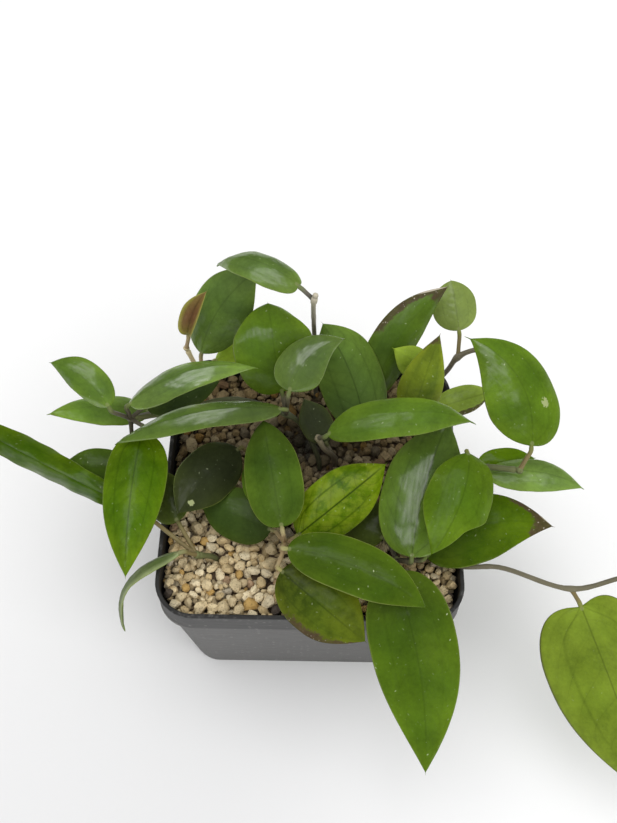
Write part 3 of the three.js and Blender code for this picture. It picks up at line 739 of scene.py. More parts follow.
@dataclass
class PumiceBed:
    """The filling: a block of packed grains below and single settled grains on top of it.

    stems holds x, y and the radius of each cane. The grains' tops lie below_rim under the pot's rim, rise by
    bank at its walls and fall towards its back. count grains are dropped, each at the best of several tries,
    until most of them have settled. touch is how close two may lie, in the sum of their radii, and clear is
    the gap to the wall. smallest and largest bound a grain's radius, and longest its reach in radii. Its top
    is taken as sink radii above its middle and may stand proud of the level, by the length proud. The lowest
    grains lie layer below the level, on the block, whose own top is at block_top.
    """

    pot: NurseryPot
    stems: list[tuple[float, float, float]]
    below_rim: float = 5.4
    fall: float = 0.02
    bank: float = 1.3
    clear: float = 0.3
    count: int = 3400
    tries: int = 40
    most: int = 2700
    rings: int = 4
    around: int = 8
    cuts: int = 8
    touch: float = 0.80
    smallest: float = 0.62
    largest: float = 2.7
    longest: float = 1.12
    sink: float = 0.8
    proud: float = 0.7
    layer: float = 5.0
    block_top: float = 56.0
    crease: float = 24.0

    def level(self, x: np.ndarray, y: np.ndarray) -> np.ndarray:
        """Height of the grains' tops: it falls towards the back and is banked up at the walls."""
        bank = smooth(np.maximum(np.abs(x), np.abs(y)), 34.0, 48.0)
        return self.pot.height - self.below_rim - self.fall * y + self.bank * bank

    def settle(self, rng: np.random.Generator) -> tuple[np.ndarray, np.ndarray]:
        """Drops grains one by one, each at the lowest of several random places over those already there.

        A grain of radius r rests on one of radius q at distance d when its height above it is
        sqrt((touch (r + q))^2 - d^2).

        Args:
            rng: the source of random numbers.

        Returns:
            The grains' middles and their radii, in millimetres.
        """
        room = self.pot.width / 2 - self.pot.wall - self.clear
        radii = np.clip(rng.lognormal(0.29, 0.40, self.count), self.smallest, self.largest)
        middles = np.zeros((self.count, 3))
        stems = np.array(self.stems)
        placed = 0
        for radius in radii.copy():
            at = rng.uniform(-1, 1, (self.tries, 2)) * (room - radius * self.sink)
            corner = np.maximum(np.abs(at) - (room - self.pot.rim_corner + self.pot.wall), 0.0)
            at = at[np.hypot(*corner.T) < self.pot.rim_corner - self.pot.wall - radius * self.sink]
            near = np.hypot(*(at[:, None] - stems[None, :, :2]).transpose(2, 0, 1))
            at = at[(near > stems[:, 2] + radius * 0.7).all(1)]
            if not len(at):
                continue
            reach = self.touch * (radius + radii[:placed])
            away = ((at[:, None] - middles[None, :placed, :2]) ** 2).sum(-1)
            lift = np.sqrt(np.maximum(reach**2 - away, 0.0))
            heights = np.where(away < reach**2, middles[:placed, 2] + lift, -1e9)
            level = self.level(*at.T)
            heights = np.maximum(heights.max(1, initial=-1e9), level - self.layer)
            over = heights + radius * self.sink - level
            best = int(np.argmin(over))
            if over[best] > self.proud or placed == self.most:
                continue
            middles[placed] = (*at[best], heights[best])
            radii[placed] = radius
            placed += 1
        log.info("%d grains settled", placed)
        return middles[:placed], radii[:placed]

    def grains(self, rng: np.random.Generator, middles: np.ndarray, radii: np.ndarray) -> Surface:
        """Angular grains: in direction d a grain reaches the least c / (d . n) of its cuts, longest at most.

        Args:
            rng: the source of random numbers.
            middles: the grains' middles.
            radii: their radii.

        Returns:
            All the grains as one surface, with a colour and a depth kept at each corner.
        """
        count = len(radii)
        ball = skin(sphere(self.rings, self.around), POLES)
        ways = ball.points
        normals = unit(rng.normal(size=(count, self.cuts, 3)))
        depth = rng.uniform(0.52, 0.98, (count, self.cuts, 1))
        facing = normals @ ways.T
        reach = np.where(facing > 0.05, depth / np.maximum(facing, 0.05), 9.0).min(1)
        reach = np.minimum(reach, self.longest) * rng.uniform(0.96, 1.04, reach.shape)
        corners = ways[None] * reach[..., None]
        slim = np.stack([np.ones(count), rng.uniform(0.66, 1, count), rng.uniform(0.6, 0.92, count)], -1)
        corners *= slim[:, None]
        first = unit(rng.normal(size=(count, 3)) * (1, 1, 0.5))
        third = unit(np.cross(first, rng.normal(size=(count, 3))))
        axes = np.stack([first, np.cross(third, first), third], 1)
        points = np.einsum("nki,nij->nkj", corners, axes) * radii[:, None, None] * 1.2 + middles[:, None]
        # the walls push the corners in
        room = self.pot.width / 2 - self.pot.wall - 0.05
        points[..., :2] = np.clip(points[..., :2], -room, room)
        starts = (np.arange(count) * len(ways))[:, None, None]
        quads = (ball.quads[None] + starts).reshape(-1, 4)
        triangles = (ball.triangles[None] + starts).reshape(-1, 3)
        # how far below the top each corner lies, for the painted shade low in the gaps
        deep = smooth(self.level(points[..., 0], points[..., 1]) - points[..., 2], 1.6, 5.0)
        values = {"grain": np.repeat(self.colours(rng, middles), len(ways), 0), "deep": deep.ravel()}
        return Surface(points.reshape(-1, 3), quads, triangles, values)

    def colours(self, rng: np.random.Generator, middles: np.ndarray) -> np.ndarray:
        """Each grain's colour: cream for most, some ochre, pink, grey or near black.

        They are darker at the back, for damp and for painted shade under the leaves, and in the hollow in the
        middle, for dark soil and painted shade.
        """
        kinds, shares = zip(
            ((0.68, 0.57, 0.375), 0.40),
            ((0.76, 0.67, 0.49), 0.27),
            ((0.59, 0.47, 0.28), 0.19),
            ((0.60, 0.40, 0.15), 0.06),
            ((0.47, 0.33, 0.22), 0.03),
            ((0.38, 0.34, 0.27), 0.025),
            ((0.085, 0.070, 0.060), 0.025),
        )
        x, y, _ = middles.T
        pick = rng.choice(len(kinds), len(middles), p=shares)
        colours = np.array(kinds)[pick] * rng.uniform(0.84, 1.12, (len(middles), 1))
        # damp and painted shade: darker towards the back
        damp_and_shade = smooth(y + 7.0 * ripple(middles[:, :2], 60.0, 2.0), -20.0, 10.0)[:, None]
        colours = colours * (1.0 - damp_and_shade * np.array([0.60, 0.63, 0.68]))
        # dark soil and painted shade in the hollow under the middle of the plant
        hollow_soil_and_shade = np.exp(-((x + 2.0) ** 2 / 420.0 + (y - 19.0) ** 2 / 150.0))[:, None]
        colours = colours * np.array([0.95, 0.92, 0.84])
        return colours * (1.0 - hollow_soil_and_shade * np.array([0.84, 0.81, 0.74]))

    def build(self) -> tuple[bpy.types.Object, bpy.types.Object]:
        """Makes the block, whose top and sides are shaped uneven like packed grains and whose dark colour is
        painted shade in the gaps, and the loose grains.
        """
        rng = np.random.default_rng(SEED)
        finish = PumiceFinish().material()
        pot = self.pot
        inset = pot.wall + self.clear
        foot, top = pot.floor + self.clear, self.block_top
        crown = [top - 1.0, top - 0.4, top - 0.1, top, top]
        z = np.concatenate([np.full(4, foot), np.linspace(4, 52, 17), crown])
        half, corner = pot.wall_at(z)
        half, corner = half - inset, corner - inset
        half[:3] *= np.array([0.3, 0.6, 0.9])
        half[-3:] *= np.array([0.97, 0.6, 0.3])
        rings = pot.squares(np.stack([half, corner, z], -1))
        rings[3:] += unit(rings[3:] * (1, 1, 0)) * (0.25 * ripple(rings[3:], 6.0, 1.0) - 0.25)[..., None]
        rings[-3:, :, 2] += 0.6 * ripple(rings[-3:, :, :2], 5.0, 3.0) - self.fall * rings[-3:, :, 1]
        block = skin(rings)
        count = len(block.points)
        # painted shade: the block shows only between the grains, so it is dark brown and darkened further
        block.values["grain"] = np.tile([0.09, 0.062, 0.040], (count, 1))
        block.values["deep"] = np.full(count, 0.8)
        bed = block.piece("pumice_block", finish, "pumice", "pumice")
        loose = self.grains(rng, *self.settle(rng)).piece("pumice_grains", finish, "pumice")
        smooth_by_angle(loose, self.crease)
        return bed, loose


# ---- vines ----


def curve_through(points: np.ndarray, steps: int) -> np.ndarray:
    """A centripetal Catmull-Rom curve: a cubic between neighbours, with tangents weighted by root distance.

    Args:
        points: the points that it passes through.
        steps: samples between two neighbours.

    Returns:
        The sampled curve, from the first point to the last.
    """
    padded = np.concatenate([[2 * points[0] - points[1]], points, [2 * points[-1] - points[-2]]])
    part = np.repeat(np.arange(len(points) - 1), steps)
    share = np.tile(np.arange(steps) / steps, len(points) - 1)
    part, share = np.append(part, len(points) - 2), np.append(share, 1.0)[:, None]
    p0, p1, p2, p3 = (padded[part + k] for k in range(4))
    d0, d1, d2 = (np.sqrt(np.linalg.norm(b - a, axis=1))[:, None] for a, b in ((p0, p1), (p1, p2), (p2, p3)))
    leave = ((p1 - p0) / d0 - (p2 - p0) / (d0 + d1) + (p2 - p1) / d1) * d1
    arrive = ((p2 - p1) / d1 - (p3 - p1) / (d1 + d2) + (p3 - p2) / d2) * d1
    cubic = 2 * p1 - 2 * p2 + leave + arrive
    square = -3 * p1 + 3 * p2 - 2 * leave - arrive
    return ((cubic * share + square) * share + leave) * share + p1


def tube(path: np.ndarray, radii: np.ndarray, colours: np.ndarray, around: int, seed: float) -> Surface:
    """A stem: a circle carried along a path, made a little uneven by a ripple of angle and length.

    Args:
        path: points along its middle.
        radii: its radius at each point.
        colours: its colour at each point.
        around: corners round it.
        seed: turns its unevenness.

    Returns:
        The closed stem, with its colour and the way of its grain kept at each corner.
    """
    along = unit(np.gradient(path, axis=0))
    # the circles are turned about the axis that the path comes least close to running along
    axes = [[1, 0, 0], [0, 1, 0], [0, 0, 1], [1, 1, 0], [1, -1, 0], [0, 1, 1], [0, 1, -1], [1, 0, 1]]
    ways = unit(np.array(axes, float))
    first = unit(np.cross(along, ways[np.argmin(np.abs(along @ ways.T).max(0))]))
    second = np.cross(along, first)
    turn, length = circle(around), run(path)
    spread = np.stack(np.broadcast_arrays(np.cos(turn), np.sin(turn), length[:, None] * 0.25), -1)
    uneven = 1 + 0.05 * ripple(spread, 2.0, seed)
    ring = np.cos(turn)[None, :, None] * first[:, None] + np.sin(turn)[None, :, None] * second[:, None]
    rings = path[:, None] + ring * (radii[:, None] * uneven)[..., None]
    stem = skin(rings, path[[0, -1]])
    way = np.stack(np.broadcast_arrays(np.sin(turn) * 2.0, length[:, None], np.cos(turn) * 2.0), -1)
    stem.values["bark"] = at_rings(np.repeat(colours[:, None], around, 1), around)
    stem.values["grain_way"] = at_rings(way, around)
    return stem


class Bark(Enum):
    """Colours of a cane: at its foot, along it and at its young end."""

    DARK = ((0.034, 0.028, 0.022), (0.090, 0.076, 0.052), (0.180, 0.156, 0.095))
    BROWN = ((0.036, 0.035, 0.020), (0.074, 0.086, 0.036), (0.125, 0.138, 0.050))
    GREY = ((0.052, 0.048, 0.038), (0.250, 0.228, 0.172), (0.390, 0.355, 0.270))
    GREEN = ((0.066, 0.058, 0.034), (0.145, 0.130, 0.080), (0.122, 0.112, 0.064))
    TAN = ((0.180, 0.136, 0.054), (0.225, 0.188, 0.072), (0.285, 0.244, 0.100))
    STRAW = ((0.360, 0.245, 0.120), (0.500, 0.400, 0.220), (0.540, 0.460, 0.260))


@dataclass
class Blade:
    """One leaf: the CAD part's own fields, and its looks.

    base and tip are the midrib's ends, and the upper side looks towards face. arch bows the midrib up and
    sweep to the right, hook turns the tip down and dip the base. keel and curl bend the halves down, in
    radians, wave raises and lowers their margins in turn, and ripples crimps them. The blade is widest at the
    share widest of its length, and full keeps it wide from there on. blunt rounds the tip, nip narrows one
    half towards it, tail draws it out, and lobe takes the base's corners back past the petiole.

    shade scales the look's colours, for the leaf's own tone and as painted light and shade. fade paints shade
    over the base's colour, or over the tip's where it is below 0. bloom is the share of the pale colour wax,
    a painted sheen, gloss the waxy coat's shine at the base, gloss_end at the tip, and lean its growth to the
    right.
    left, right and dry are the browning of the margins, from scorch on, and of the tip. The margin has the
    colour rim by rim_share, its own paler colour and painted light on its edge; flecks is the amount of
    flecks and nerve deepens the nerves.
    spot and blot are a scar's and a worn patch's place across and along, and their radius.

    The mesh has rows along and columns across each face. neck is the blade's width at its ends, and middle
    and edge are its thickness at the midrib and near the margin.
    """

    name: str
    vine: str
    node: int
    base: Triple
    tip: Triple
    face: Triple
    width: float
    look: "Look"
    shade: float = 1.0
    arch: float = 2.0
    hook: float = 0.0
    dip: float = 0.0
    sweep: float = 0.0
    curl: float = 0.5
    keel: float = 0.1
    wave: float = 0.4
    widest: float = 0.42
    full: float = 1.4
    blunt: float = 0.0
    lobe: float = 0.0
    nip: float = 0.0
    tail: float = 0.6
    painted_shade: float = 0.0
    flecks: float = 0.7
    # painted sheen: the share and colour of a pale waxy tint
    bloom_and_sheen: float = 0.01
    sheen_wax: Triple = (0.33, 0.34, 0.30)
    gloss: float = 0.15
    gloss_end: Optional[float] = None
    lean: float = 0.0
    left: float = 0.0
    right: float = 0.0
    dry: float = 0.0
    rim: Triple = (0.21, 0.27, 0.045)
    rim_share: float = 0.5
    spot: Triple = (0.0, -50.0, 1.0)
    blot: Triple = (0.0, -50.0, 1.0)
    ripples: float = 0.0
    scorch: float = 0.05
    nerve: float = 0.12
    rows: int = 84
    columns: int = 41
    neck: float = 1.1
    middle: float = 1.0
    edge: float = 0.44

    def length(self) -> float:
        """Distance from base to tip."""
        return float(np.linalg.norm(np.subtract(self.tip, self.base)))

    def end(self) -> float:
        """The share at which the drawn-out tip ends."""
        return 1 + self.tail / self.length()

    def axes(self, t: np.ndarray) -> tuple[np.ndarray, np.ndarray, np.ndarray, np.ndarray]:
        """The midrib's frame at shares t.

        The midrib is base + reach t + face (arch 4t(1-t) - hook q^2 - dip p^2) + side sweep 4t(1-t), where
        q = (t - 0.7)/0.3 above 0.7 and p = 1 - t/0.2 below 0.2, and else 0.

        Args:
            t: shares of the length, a little past 1 on a drawn-out tip.

        Returns:
            Points, and unit vectors along the midrib, across it and out of the upper face.
        """
        reach = np.subtract(self.tip, self.base)
        chord = unit(reach)
        face = np.asarray(self.face, float)
        face = unit(face - chord * (face @ chord))
        side = np.cross(chord, face)

        def at(s: np.ndarray) -> np.ndarray:
            """The midrib's points at shares s."""
            s = s[:, None]
            bow = 4 * s * (1 - s)
            hook, dip = np.maximum(0, (s - 0.7) / 0.3) ** 2, np.maximum(0, 1 - s / 0.2) ** 2
            rise = self.arch * bow - (self.hook * hook + self.dip * dip)
            return self.base + reach * s + face * rise + side * self.sweep * bow

        along = unit(at(t + 0.01) - at(t - 0.01))
        across = unit(np.cross(along, face))
        return at(t), along, across, np.cross(across, along)

    def half_width(self, t: np.ndarray) -> np.ndarray:
        """Half the width at shares t: a rounded base, then w cos(pi/2 s^full) to the point, thinning past it.

        A blunt tip mixes in w sqrt(1 - s^2), a round end.
        """
        rise = (1 - (np.maximum(self.widest - t, 0) / self.widest) ** 2.3) ** (1 / 2.3)
        past = np.clip((t - self.widest) / (1 - self.widest), 0, 1)
        fall = (1 - self.blunt) * np.cos(np.pi / 2 * past**self.full) + self.blunt * np.sqrt(1 - past**2)
        thin = 0.42 * self.neck * np.sqrt(np.maximum(1 - smooth(t, 0.9, self.end()), 0.01))
        floor = np.where(t < 0.5, self.neck / 2, thin)
        return np.maximum(self.width / 2 * rise * fall, floor)

    def surface(self) -> Surface:
        """The closed blade: a curved middle surface thickened both ways, with a round margin and a midrib."""
        # rows t run along the blade; round each, u runs over the upper face and back along the lower one
        end = self.end()
        even = np.linspace(0, 1, self.rows)
        t = (0.3 * even + 0.7 * (0.5 - 0.5 * np.cos(np.pi * even))) * end
        s = np.linspace(-1, 1, self.columns)
        fine = s - 0.1 * np.sin(TURN * s)
        u = np.concatenate([fine, fine[-2:0:-1]])
        span, half_at = np.abs(u), self.width / 2
        above = np.concatenate([np.ones(self.columns), np.zeros(self.columns - 2)])
        above[[0, self.columns - 1]] = 0.5
        way = 2 * above - 1
        point, along, across, out = self.axes(t)
        t = t[:, None]

        # each half bends down along an arc, from keel at the midrib by curl at the margin
        pinch = np.where(u * self.nip > 0, abs(self.nip), 0.0) * smooth(t, 0.5, 0.72)
        reach = self.half_width(t) * (1 - pinch)
        bend = self.curl if abs(self.curl) > 1e-3 else 1e-3
        wide = reach * (np.sin(self.keel + bend * span) - np.sin(self.keel)) / bend
        outer = reach * (np.sin(self.keel + bend) - np.sin(self.keel)) / bend
        drop = reach * (np.cos(self.keel) - np.cos(self.keel + bend * span)) / bend
        swell = np.sin(9 * t + self.base[0] + np.where(u > 0, 0, 1.3))
        lift = self.wave * span**2 * swell * reach / half_at - drop
        x = np.sign(u) * wide
        y = t * self.length() + 0 * x
        flat = np.stack([x, y], -1)

        # soft quilting, crimped margins and pillows between the nerves, the same on both faces
        seed = abs(self.base[0] * 0.37 + self.tip[1] * 0.11) % 7
        inner = smooth(reach, 1.0, 5.0)
        lift += 0.20 * ripple(flat, 15.0, seed) * inner + 0.07 * ripple(flat, 5.0, seed + 1)
        lift += 0.012 * ripple(flat, 2.4, seed + 2)
        lift += self.ripples * span**1.5 * np.sin(y * 0.62 + np.where(u > 0, 0.9, 0.0)) * inner
        lift += (0.02 + 0.10 * self.nerve) * self.pillow(u, t / end) * smooth(reach, 1.0, 6.0)

        # half the thickness: thin towards the margin, which is round, with a groove above and a ridge below
        margin = np.clip((wide - outer + 0.4) / 0.4, 0, 1)
        half = (self.middle + (self.edge - self.middle) * span) / 2 * np.sqrt(1 - margin**2)
        groove = 0.07 * np.exp(-((x / 0.55) ** 2)) * smooth(1.02 - t, 0.0, 0.5)
        ridge = 0.5 * (1 - smooth(t, 0.2, 1.0)) * np.exp(-((x / 0.8) ** 2))
        nerve = 0.012 * np.exp(-(((span - 0.52) / 0.06) ** 2)) * smooth(t, 0.02, 0.2)
        body = np.where(way > 0, half - groove - nerve, half + ridge) * np.abs(way)
        back = self.lobe * span**1.5 * np.maximum(0, 1 - t / self.widest) ** 2 * reach / half_at
        rings = point[:, None] + across[:, None] * x[..., None]
        rings = rings + out[:, None] * (lift + way * body)[..., None] - along[:, None] * back[..., None]
        ends = np.stack([rings[0].mean(0), rings[-1].mean(0) + along[-1] * 0.25])
        blade = skin(rings, ends)
        whole, shares = np.broadcast_arrays(t, u)

        def kept(*numbers: Any) -> np.ndarray:
            """Three numbers, each single or spread over the rings, as one vector at each corner."""
            spread = [np.broadcast_to(n, x.shape) for n in numbers]
            return at_rings(np.stack(spread, -1), len(u))

        last = self.gloss if self.gloss_end is None else self.gloss_end
        blade.values = {
            "blade": kept(x, y - back, above),
            "share": kept(shares, whole / end, self.flecks),
            "age": kept(self.creep(shares, whole), self.look.blotch, self.nerve),
            "gloss": at_rings((self.gloss + (last - self.gloss) * whole) * (1 + self.lean * shares), len(u)),
            "spot": kept(*self.spot),
            "blot": kept(*self.blot),
            "tint": at_rings(self.tint(shares, whole, flat, seed), len(u)),
        }
        return blade

    @staticmethod
    def pillow(u: np.ndarray, t: np.ndarray) -> np.ndarray:
        """Swelling between side nerves: 1 - |sin(pi r)|^3, where r counts the nerves from the base."""
        span = np.abs(u)
        rank = LeafFinish.crowd * (t - 0.16 * span - 0.24 * span**3) + np.where(u > 0, 0.4, 0.0)
        rank = rank + 0.12 * np.sin(9 * t + 3 * span)
        return (1 - np.abs(np.sin(np.pi * rank)) ** 3) * smooth(span, 0.0, 0.2) * smooth(1 - span, 0.05, 0.3)

    def creep(self, u: np.ndarray, t: np.ndarray) -> np.ndarray:
        """How far browning has come: it grows towards the left margin, the right margin and the tip."""
        margins = self.left * smooth(-u, 0.35, 1.0) + self.right * smooth(u, 0.35, 1.0)
        return margins * smooth(t, self.scorch, self.scorch + 0.35) + self.dry * smooth(t, 0.72, 1.0)

    def tint(self, u: np.ndarray, t: np.ndarray, flat: np.ndarray, seed: float) -> np.ndarray:
        """The blade's broad colours: deep in the middle, light towards the rim, the base and the tip, with
        painted shade over one end, a pale painted sheen and a margin line partly of painted light.
        """
        look = self.look
        rim = smooth(np.abs(u), 0.45, 1.0) * look.edge
        ends = smooth(0.25 - t, 0.0, 0.25) * look.foot + smooth(t, 0.55, 1.0) * look.end
        patch = 0.4 * ripple(flat, 30.0, seed + 3) + 0.15
        share = np.clip(rim + ends + patch, 0, 1)[..., None]
        # shade: the leaf's own tone, scaled with painted light and shade besides
        colour = (np.asarray(look.deep) * (1 - share) + np.asarray(look.light) * share) * self.shade
        # painted shade over the base, or over the tip where the amount is below 0
        painted_shade_share = smooth(0.6 - t, 0.0, 0.6) if self.painted_shade > 0 else smooth(t, 0.4, 1.0)
        colour = colour * (1 - abs(self.painted_shade) * painted_shade_share)[..., None]
        # painted sheen: a pale waxy colour mixed in where the leaf shines
        colour = colour * (1 - self.bloom_and_sheen) + np.asarray(self.sheen_wax) * self.bloom_and_sheen
        # the margin line: the margin's own paler colour and painted light on its edge
        line = smooth(np.abs(u), 0.95, 1.0)[..., None] * self.rim_share
        return colour * (1 - line) + np.asarray(self.rim) * line

    def build(self, finish: bpy.types.Material) -> bpy.types.Object:
        """Makes the leaf's piece."""
        slot = "young_leaf" if self.look is Tone.YOUNG.value else "leaf"
        return self.surface().piece(f"{self.name}_blade", finish, slot, self.name)


@dataclass(frozen=True)
class Look:
    """Broad colours of a leaf: deep in the middle and light at the rim, the foot and the end, by shares."""

    deep: Triple
    light: Triple
    edge: float = 0.35
    foot: float = 0.4
    end: float = 0.25
    blotch: float = 0.0


class Tone(Enum):
    """The looks that the leaves of such a plant have, from young to old, and a dark green of painted shade.
    """

    BRIGHT = Look((0.060, 0.138, 0.001), (0.140, 0.240, 0.004), 0.3, 0.3, 0.6, 0.05)
    GREEN = Look((0.057, 0.118, 0.002), (0.109, 0.188, 0.005))
    DEEP = Look((0.038, 0.077, 0.005), (0.075, 0.130, 0.008))
    # painted shade: a dark green for leaves that lie in shade
    IN_SHADE = Look((0.023, 0.033, 0.005), (0.050, 0.070, 0.007), 0.5, 0.2, 0.4)
    OLIVE = Look((0.058, 0.100, 0.003), (0.165, 0.205, 0.007), 0.6, 0.3, 0.3, 0.15)
    BLOTCHED = Look((0.055, 0.125, 0.001), (0.155, 0.240, 0.004), 0.5, 0.3, 0.2, 0.55)
    PALE = Look((0.140, 0.215, 0.007), (0.200, 0.285, 0.017), 0.5, 0.3, 0.1, 0.10)
    # pale: partly the leaf's own colour and partly painted sheen
    PALE_SHEEN = Look((0.062, 0.10, 0.016), (0.24, 0.29, 0.12), 0.8, 0.3, 0.1, 0.0)
    YOUNG = Look((0.090, 0.046, 0.019), (0.16, 0.15, 0.030), 1.0, 0.3, 0.1, 0.0)


@dataclass
class Vine:
    """One woody cane with a knot at each node and the petioles of its leaves.

    cane holds the points that it passes through and nodes those that leaves grow from. petiole is the radius
    of a petiole, and gap how far the CAD part's petiole stops short of its blade. knot and end_knot are the
    knots' radii in those of the cane. steps divide a path from one point to the next, and around a ring.
    """

    name: str
    radius: float
    cane: list[Triple]
    nodes: list[Triple]
    bark: Bark = Bark.BROWN
    stalk: Bark = Bark.TAN
    petiole: float = 0.72
    gap: float = 0.3
    knot: float = 1.35
    end_knot: float = 1.15
    steps: int = 9
    around: int = 14
    petiole_steps: int = 7
    petiole_around: int = 12

    def cane_surface(self) -> Surface:
        """The cane: at distance s from a node its radius is 1 + 0.4 exp(-(s/2)^2) times as large.

        Old scars swell it a little too, every 17 mm along it.
        """
        path = curve_through(np.array(self.cane, float), self.steps)
        length = run(path)
        swell = np.zeros(len(path))
        for node in self.nodes:
            swell += 0.4 * np.exp(-((np.linalg.norm(path - node, axis=1) / 2.0) ** 2))
        scars = 0.14 * np.exp(-((((length + 6.0) % 17.0) - 8.5) ** 2))
        tip = np.sqrt(np.clip((length[-1] - length) / 1.2, 0.02, 1.0))
        radii = self.radius * (1 + swell + scars) * tip
        foot, middle, end = (np.asarray(c) for c in self.bark.value)
        share = (length / length[-1])[:, None]
        lower = foot + (middle - foot) * 2 * share
        upper = middle + (end - middle) * (2 * share - 1)
        colours = np.where(share < 0.5, lower, upper) * (1 + 0.5 * swell[:, None])
        return tube(path, radii, colours, self.around, self.cane[0][0])

    def petiole_surface(self, blade: Blade) -> Surface:
        """A petiole, thicker at both ends: from its node, bent into line with the midrib, into the blade."""
        point, along, _, out = (a[0] for a in blade.axes(np.array([0.0])))
        start = np.array(self.nodes[blade.node], float)
        bend = point - along * 1.6
        middle = start + (bend - start) * 0.55
        path = curve_through(np.stack([start, middle, bend, point - along * self.gap]), self.petiole_steps)
        inside = [point + along * 0.7 - out * 0.35, point + along * 3.0 - out * 0.7]
        path = np.concatenate([path, inside])
        length = run(path)
        total = length[-3]
        thick = 0.3 * np.exp(-((length / 1.3) ** 2)) + 0.06 * np.exp(-(((total - length - 0.9) / 1.2) ** 2))
        radii = self.petiole * (1 + thick)
        radii[-2:] = (self.petiole * 0.6, self.petiole * 0.2)
        foot, young, _ = (np.asarray(c) for c in self.stalk.value)
        share = (length / length[-1])[:, None]
        colours = foot * (1 - share) + young * share
        green = 0.6 * smooth(length, total - 3.0, total + 0.5)[:, None]
        colours = colours * (1 - green) + np.asarray(blade.look.light) * green
        return tube(path, radii, colours, self.petiole_around, blade.base[1])

    def knot_surface(self, node: Triple, size: float, seed: float) -> Surface:
        """A knot: a sphere that a ripple of direction makes lumpy, painted paler on top and darker below as
        light and shade.
        """
        around = 16
        ways = sphere(9, around)
        reach = size * (1 + 0.16 * ripple(ways, 1.6, seed))
        knot = skin(np.asarray(node) + ways * reach[..., None], np.asarray(node) + POLES * size)
        end = np.asarray(self.bark.value[2])
        # painted light and shade: paler towards the top, darker underneath
        knot.values["bark"] = at_rings(end * (0.9 + 0.4 * ways[..., 2:]), around)
        knot.values["grain_way"] = at_rings(ways * 2.0, around)
        return knot

    def build(self, blades: list[Blade], finish: bpy.types.Material) -> bpy.types.Object:
        """Makes the cane, its knots and petioles one piece."""
        parts = [self.cane_surface()]
        parts += [self.petiole_surface(b) for b in blades]
        parts += [self.knot_surface(n, self.radius * self.knot, n[0]) for n in self.nodes]
        parts.append(self.knot_surface(self.cane[-1], self.radius * self.end_knot, 4.0))
        return Surface.joined(parts).piece(f"{self.name}_stems", finish, "vine", self.name)


# ---- the plant's own numbers ----

UP = (0.0, 0.0, 1.0)
VIEW = (0.0, -0.5, 0.85)


def vines() -> list[Vine]:
    """The canes, each from its foot in the pumice to its end, and the nodes that its leaves grow from."""
    return [
        Vine("vine_left", 0.9,
             [(3, 8, 48), (2, 11, 62), (-4, 18, 72), (-9, 19, 77),
              (-28, 26, 75), (-48, 19, 77), (-61, 13, 82)],
             [(-9, 19, 77), (-61, 13, 82)], Bark.BROWN, Bark.GREEN),
        Vine("vine_back", 0.82, [(1, 38, 48), (1, 44, 70), (0, 45, 94), (0, 36, 118), (0.4, 36, 120.2)],
             [(0, 36, 118)], Bark.GREY, Bark.GREY),
        Vine("vine_back_left", 0.85, [(-36, 34, 48), (-38, 37, 62), (-40, 39, 68), (-45, 44, 80)],
             [(-40, 39, 68), (-45, 44, 80)], Bark.STRAW, Bark.STRAW),
        Vine("vine_back_right", 0.9,
             [(36, 32, 48), (44, 38, 68), (48, 40, 75), (51, 42, 80), (57, 43, 83), (62, 42, 84)],
             [(51, 42, 80)], Bark.DARK),
        Vine("vine_centre", 0.9, [(8, 10, 48), (8, 9, 64), (4, 5, 78), (2, 3, 88)],
             [(2, 3, 88), (8, 9, 64)], Bark.DARK, Bark.GREEN),
        Vine("vine_middle", 0.95, [(18, 22, 48), (19, 21, 62), (22, 19, 70)], [(22, 19, 70)], Bark.DARK),
        Vine("vine_right_back", 0.95, [(32, 24, 48), (33, 23, 62), (36, 22, 67)], [(36, 22, 67)],
             Bark.DARK),
        Vine("vine_right", 0.95, [(24, 4, 48), (30, 2, 64), (42, -1, 75), (53, -2, 80), (67, -6, 85)],
             [(67, -6, 85), (53, -2, 80)]),
        Vine("vine_trailing", 0.8,
             [(32, -22, 48), (38, -26, 60), (50, -32, 66.8), (61, -32, 67),
              (85, -37, 62), (100, -34, 64), (112, -31, 67), (122, -29, 71)],
             [(85, -37, 62)], Bark.GREEN),
        Vine("vine_front_right", 0.95, [(28, -24, 48), (28, -26, 60), (28, -31, 69)], [(28, -31, 69)],
             Bark.BROWN, Bark.GREEN),
        Vine("vine_front", 0.95, [(-4, -16, 48), (-6, -19, 58), (-8, -27, 72)], [(-8, -27, 72)], Bark.TAN,
             Bark.STRAW),
        Vine("vine_front_left", 0.95, [(-30, -26, 48), (-32, -27, 60), (-37, -29, 66)], [(-37, -29, 66)]),
        Vine("vine_left_middle", 0.9, [(-20, 13, 48), (-21, 12, 58), (-22, 11, 64)], [(-22, 11, 64)]),
    ]


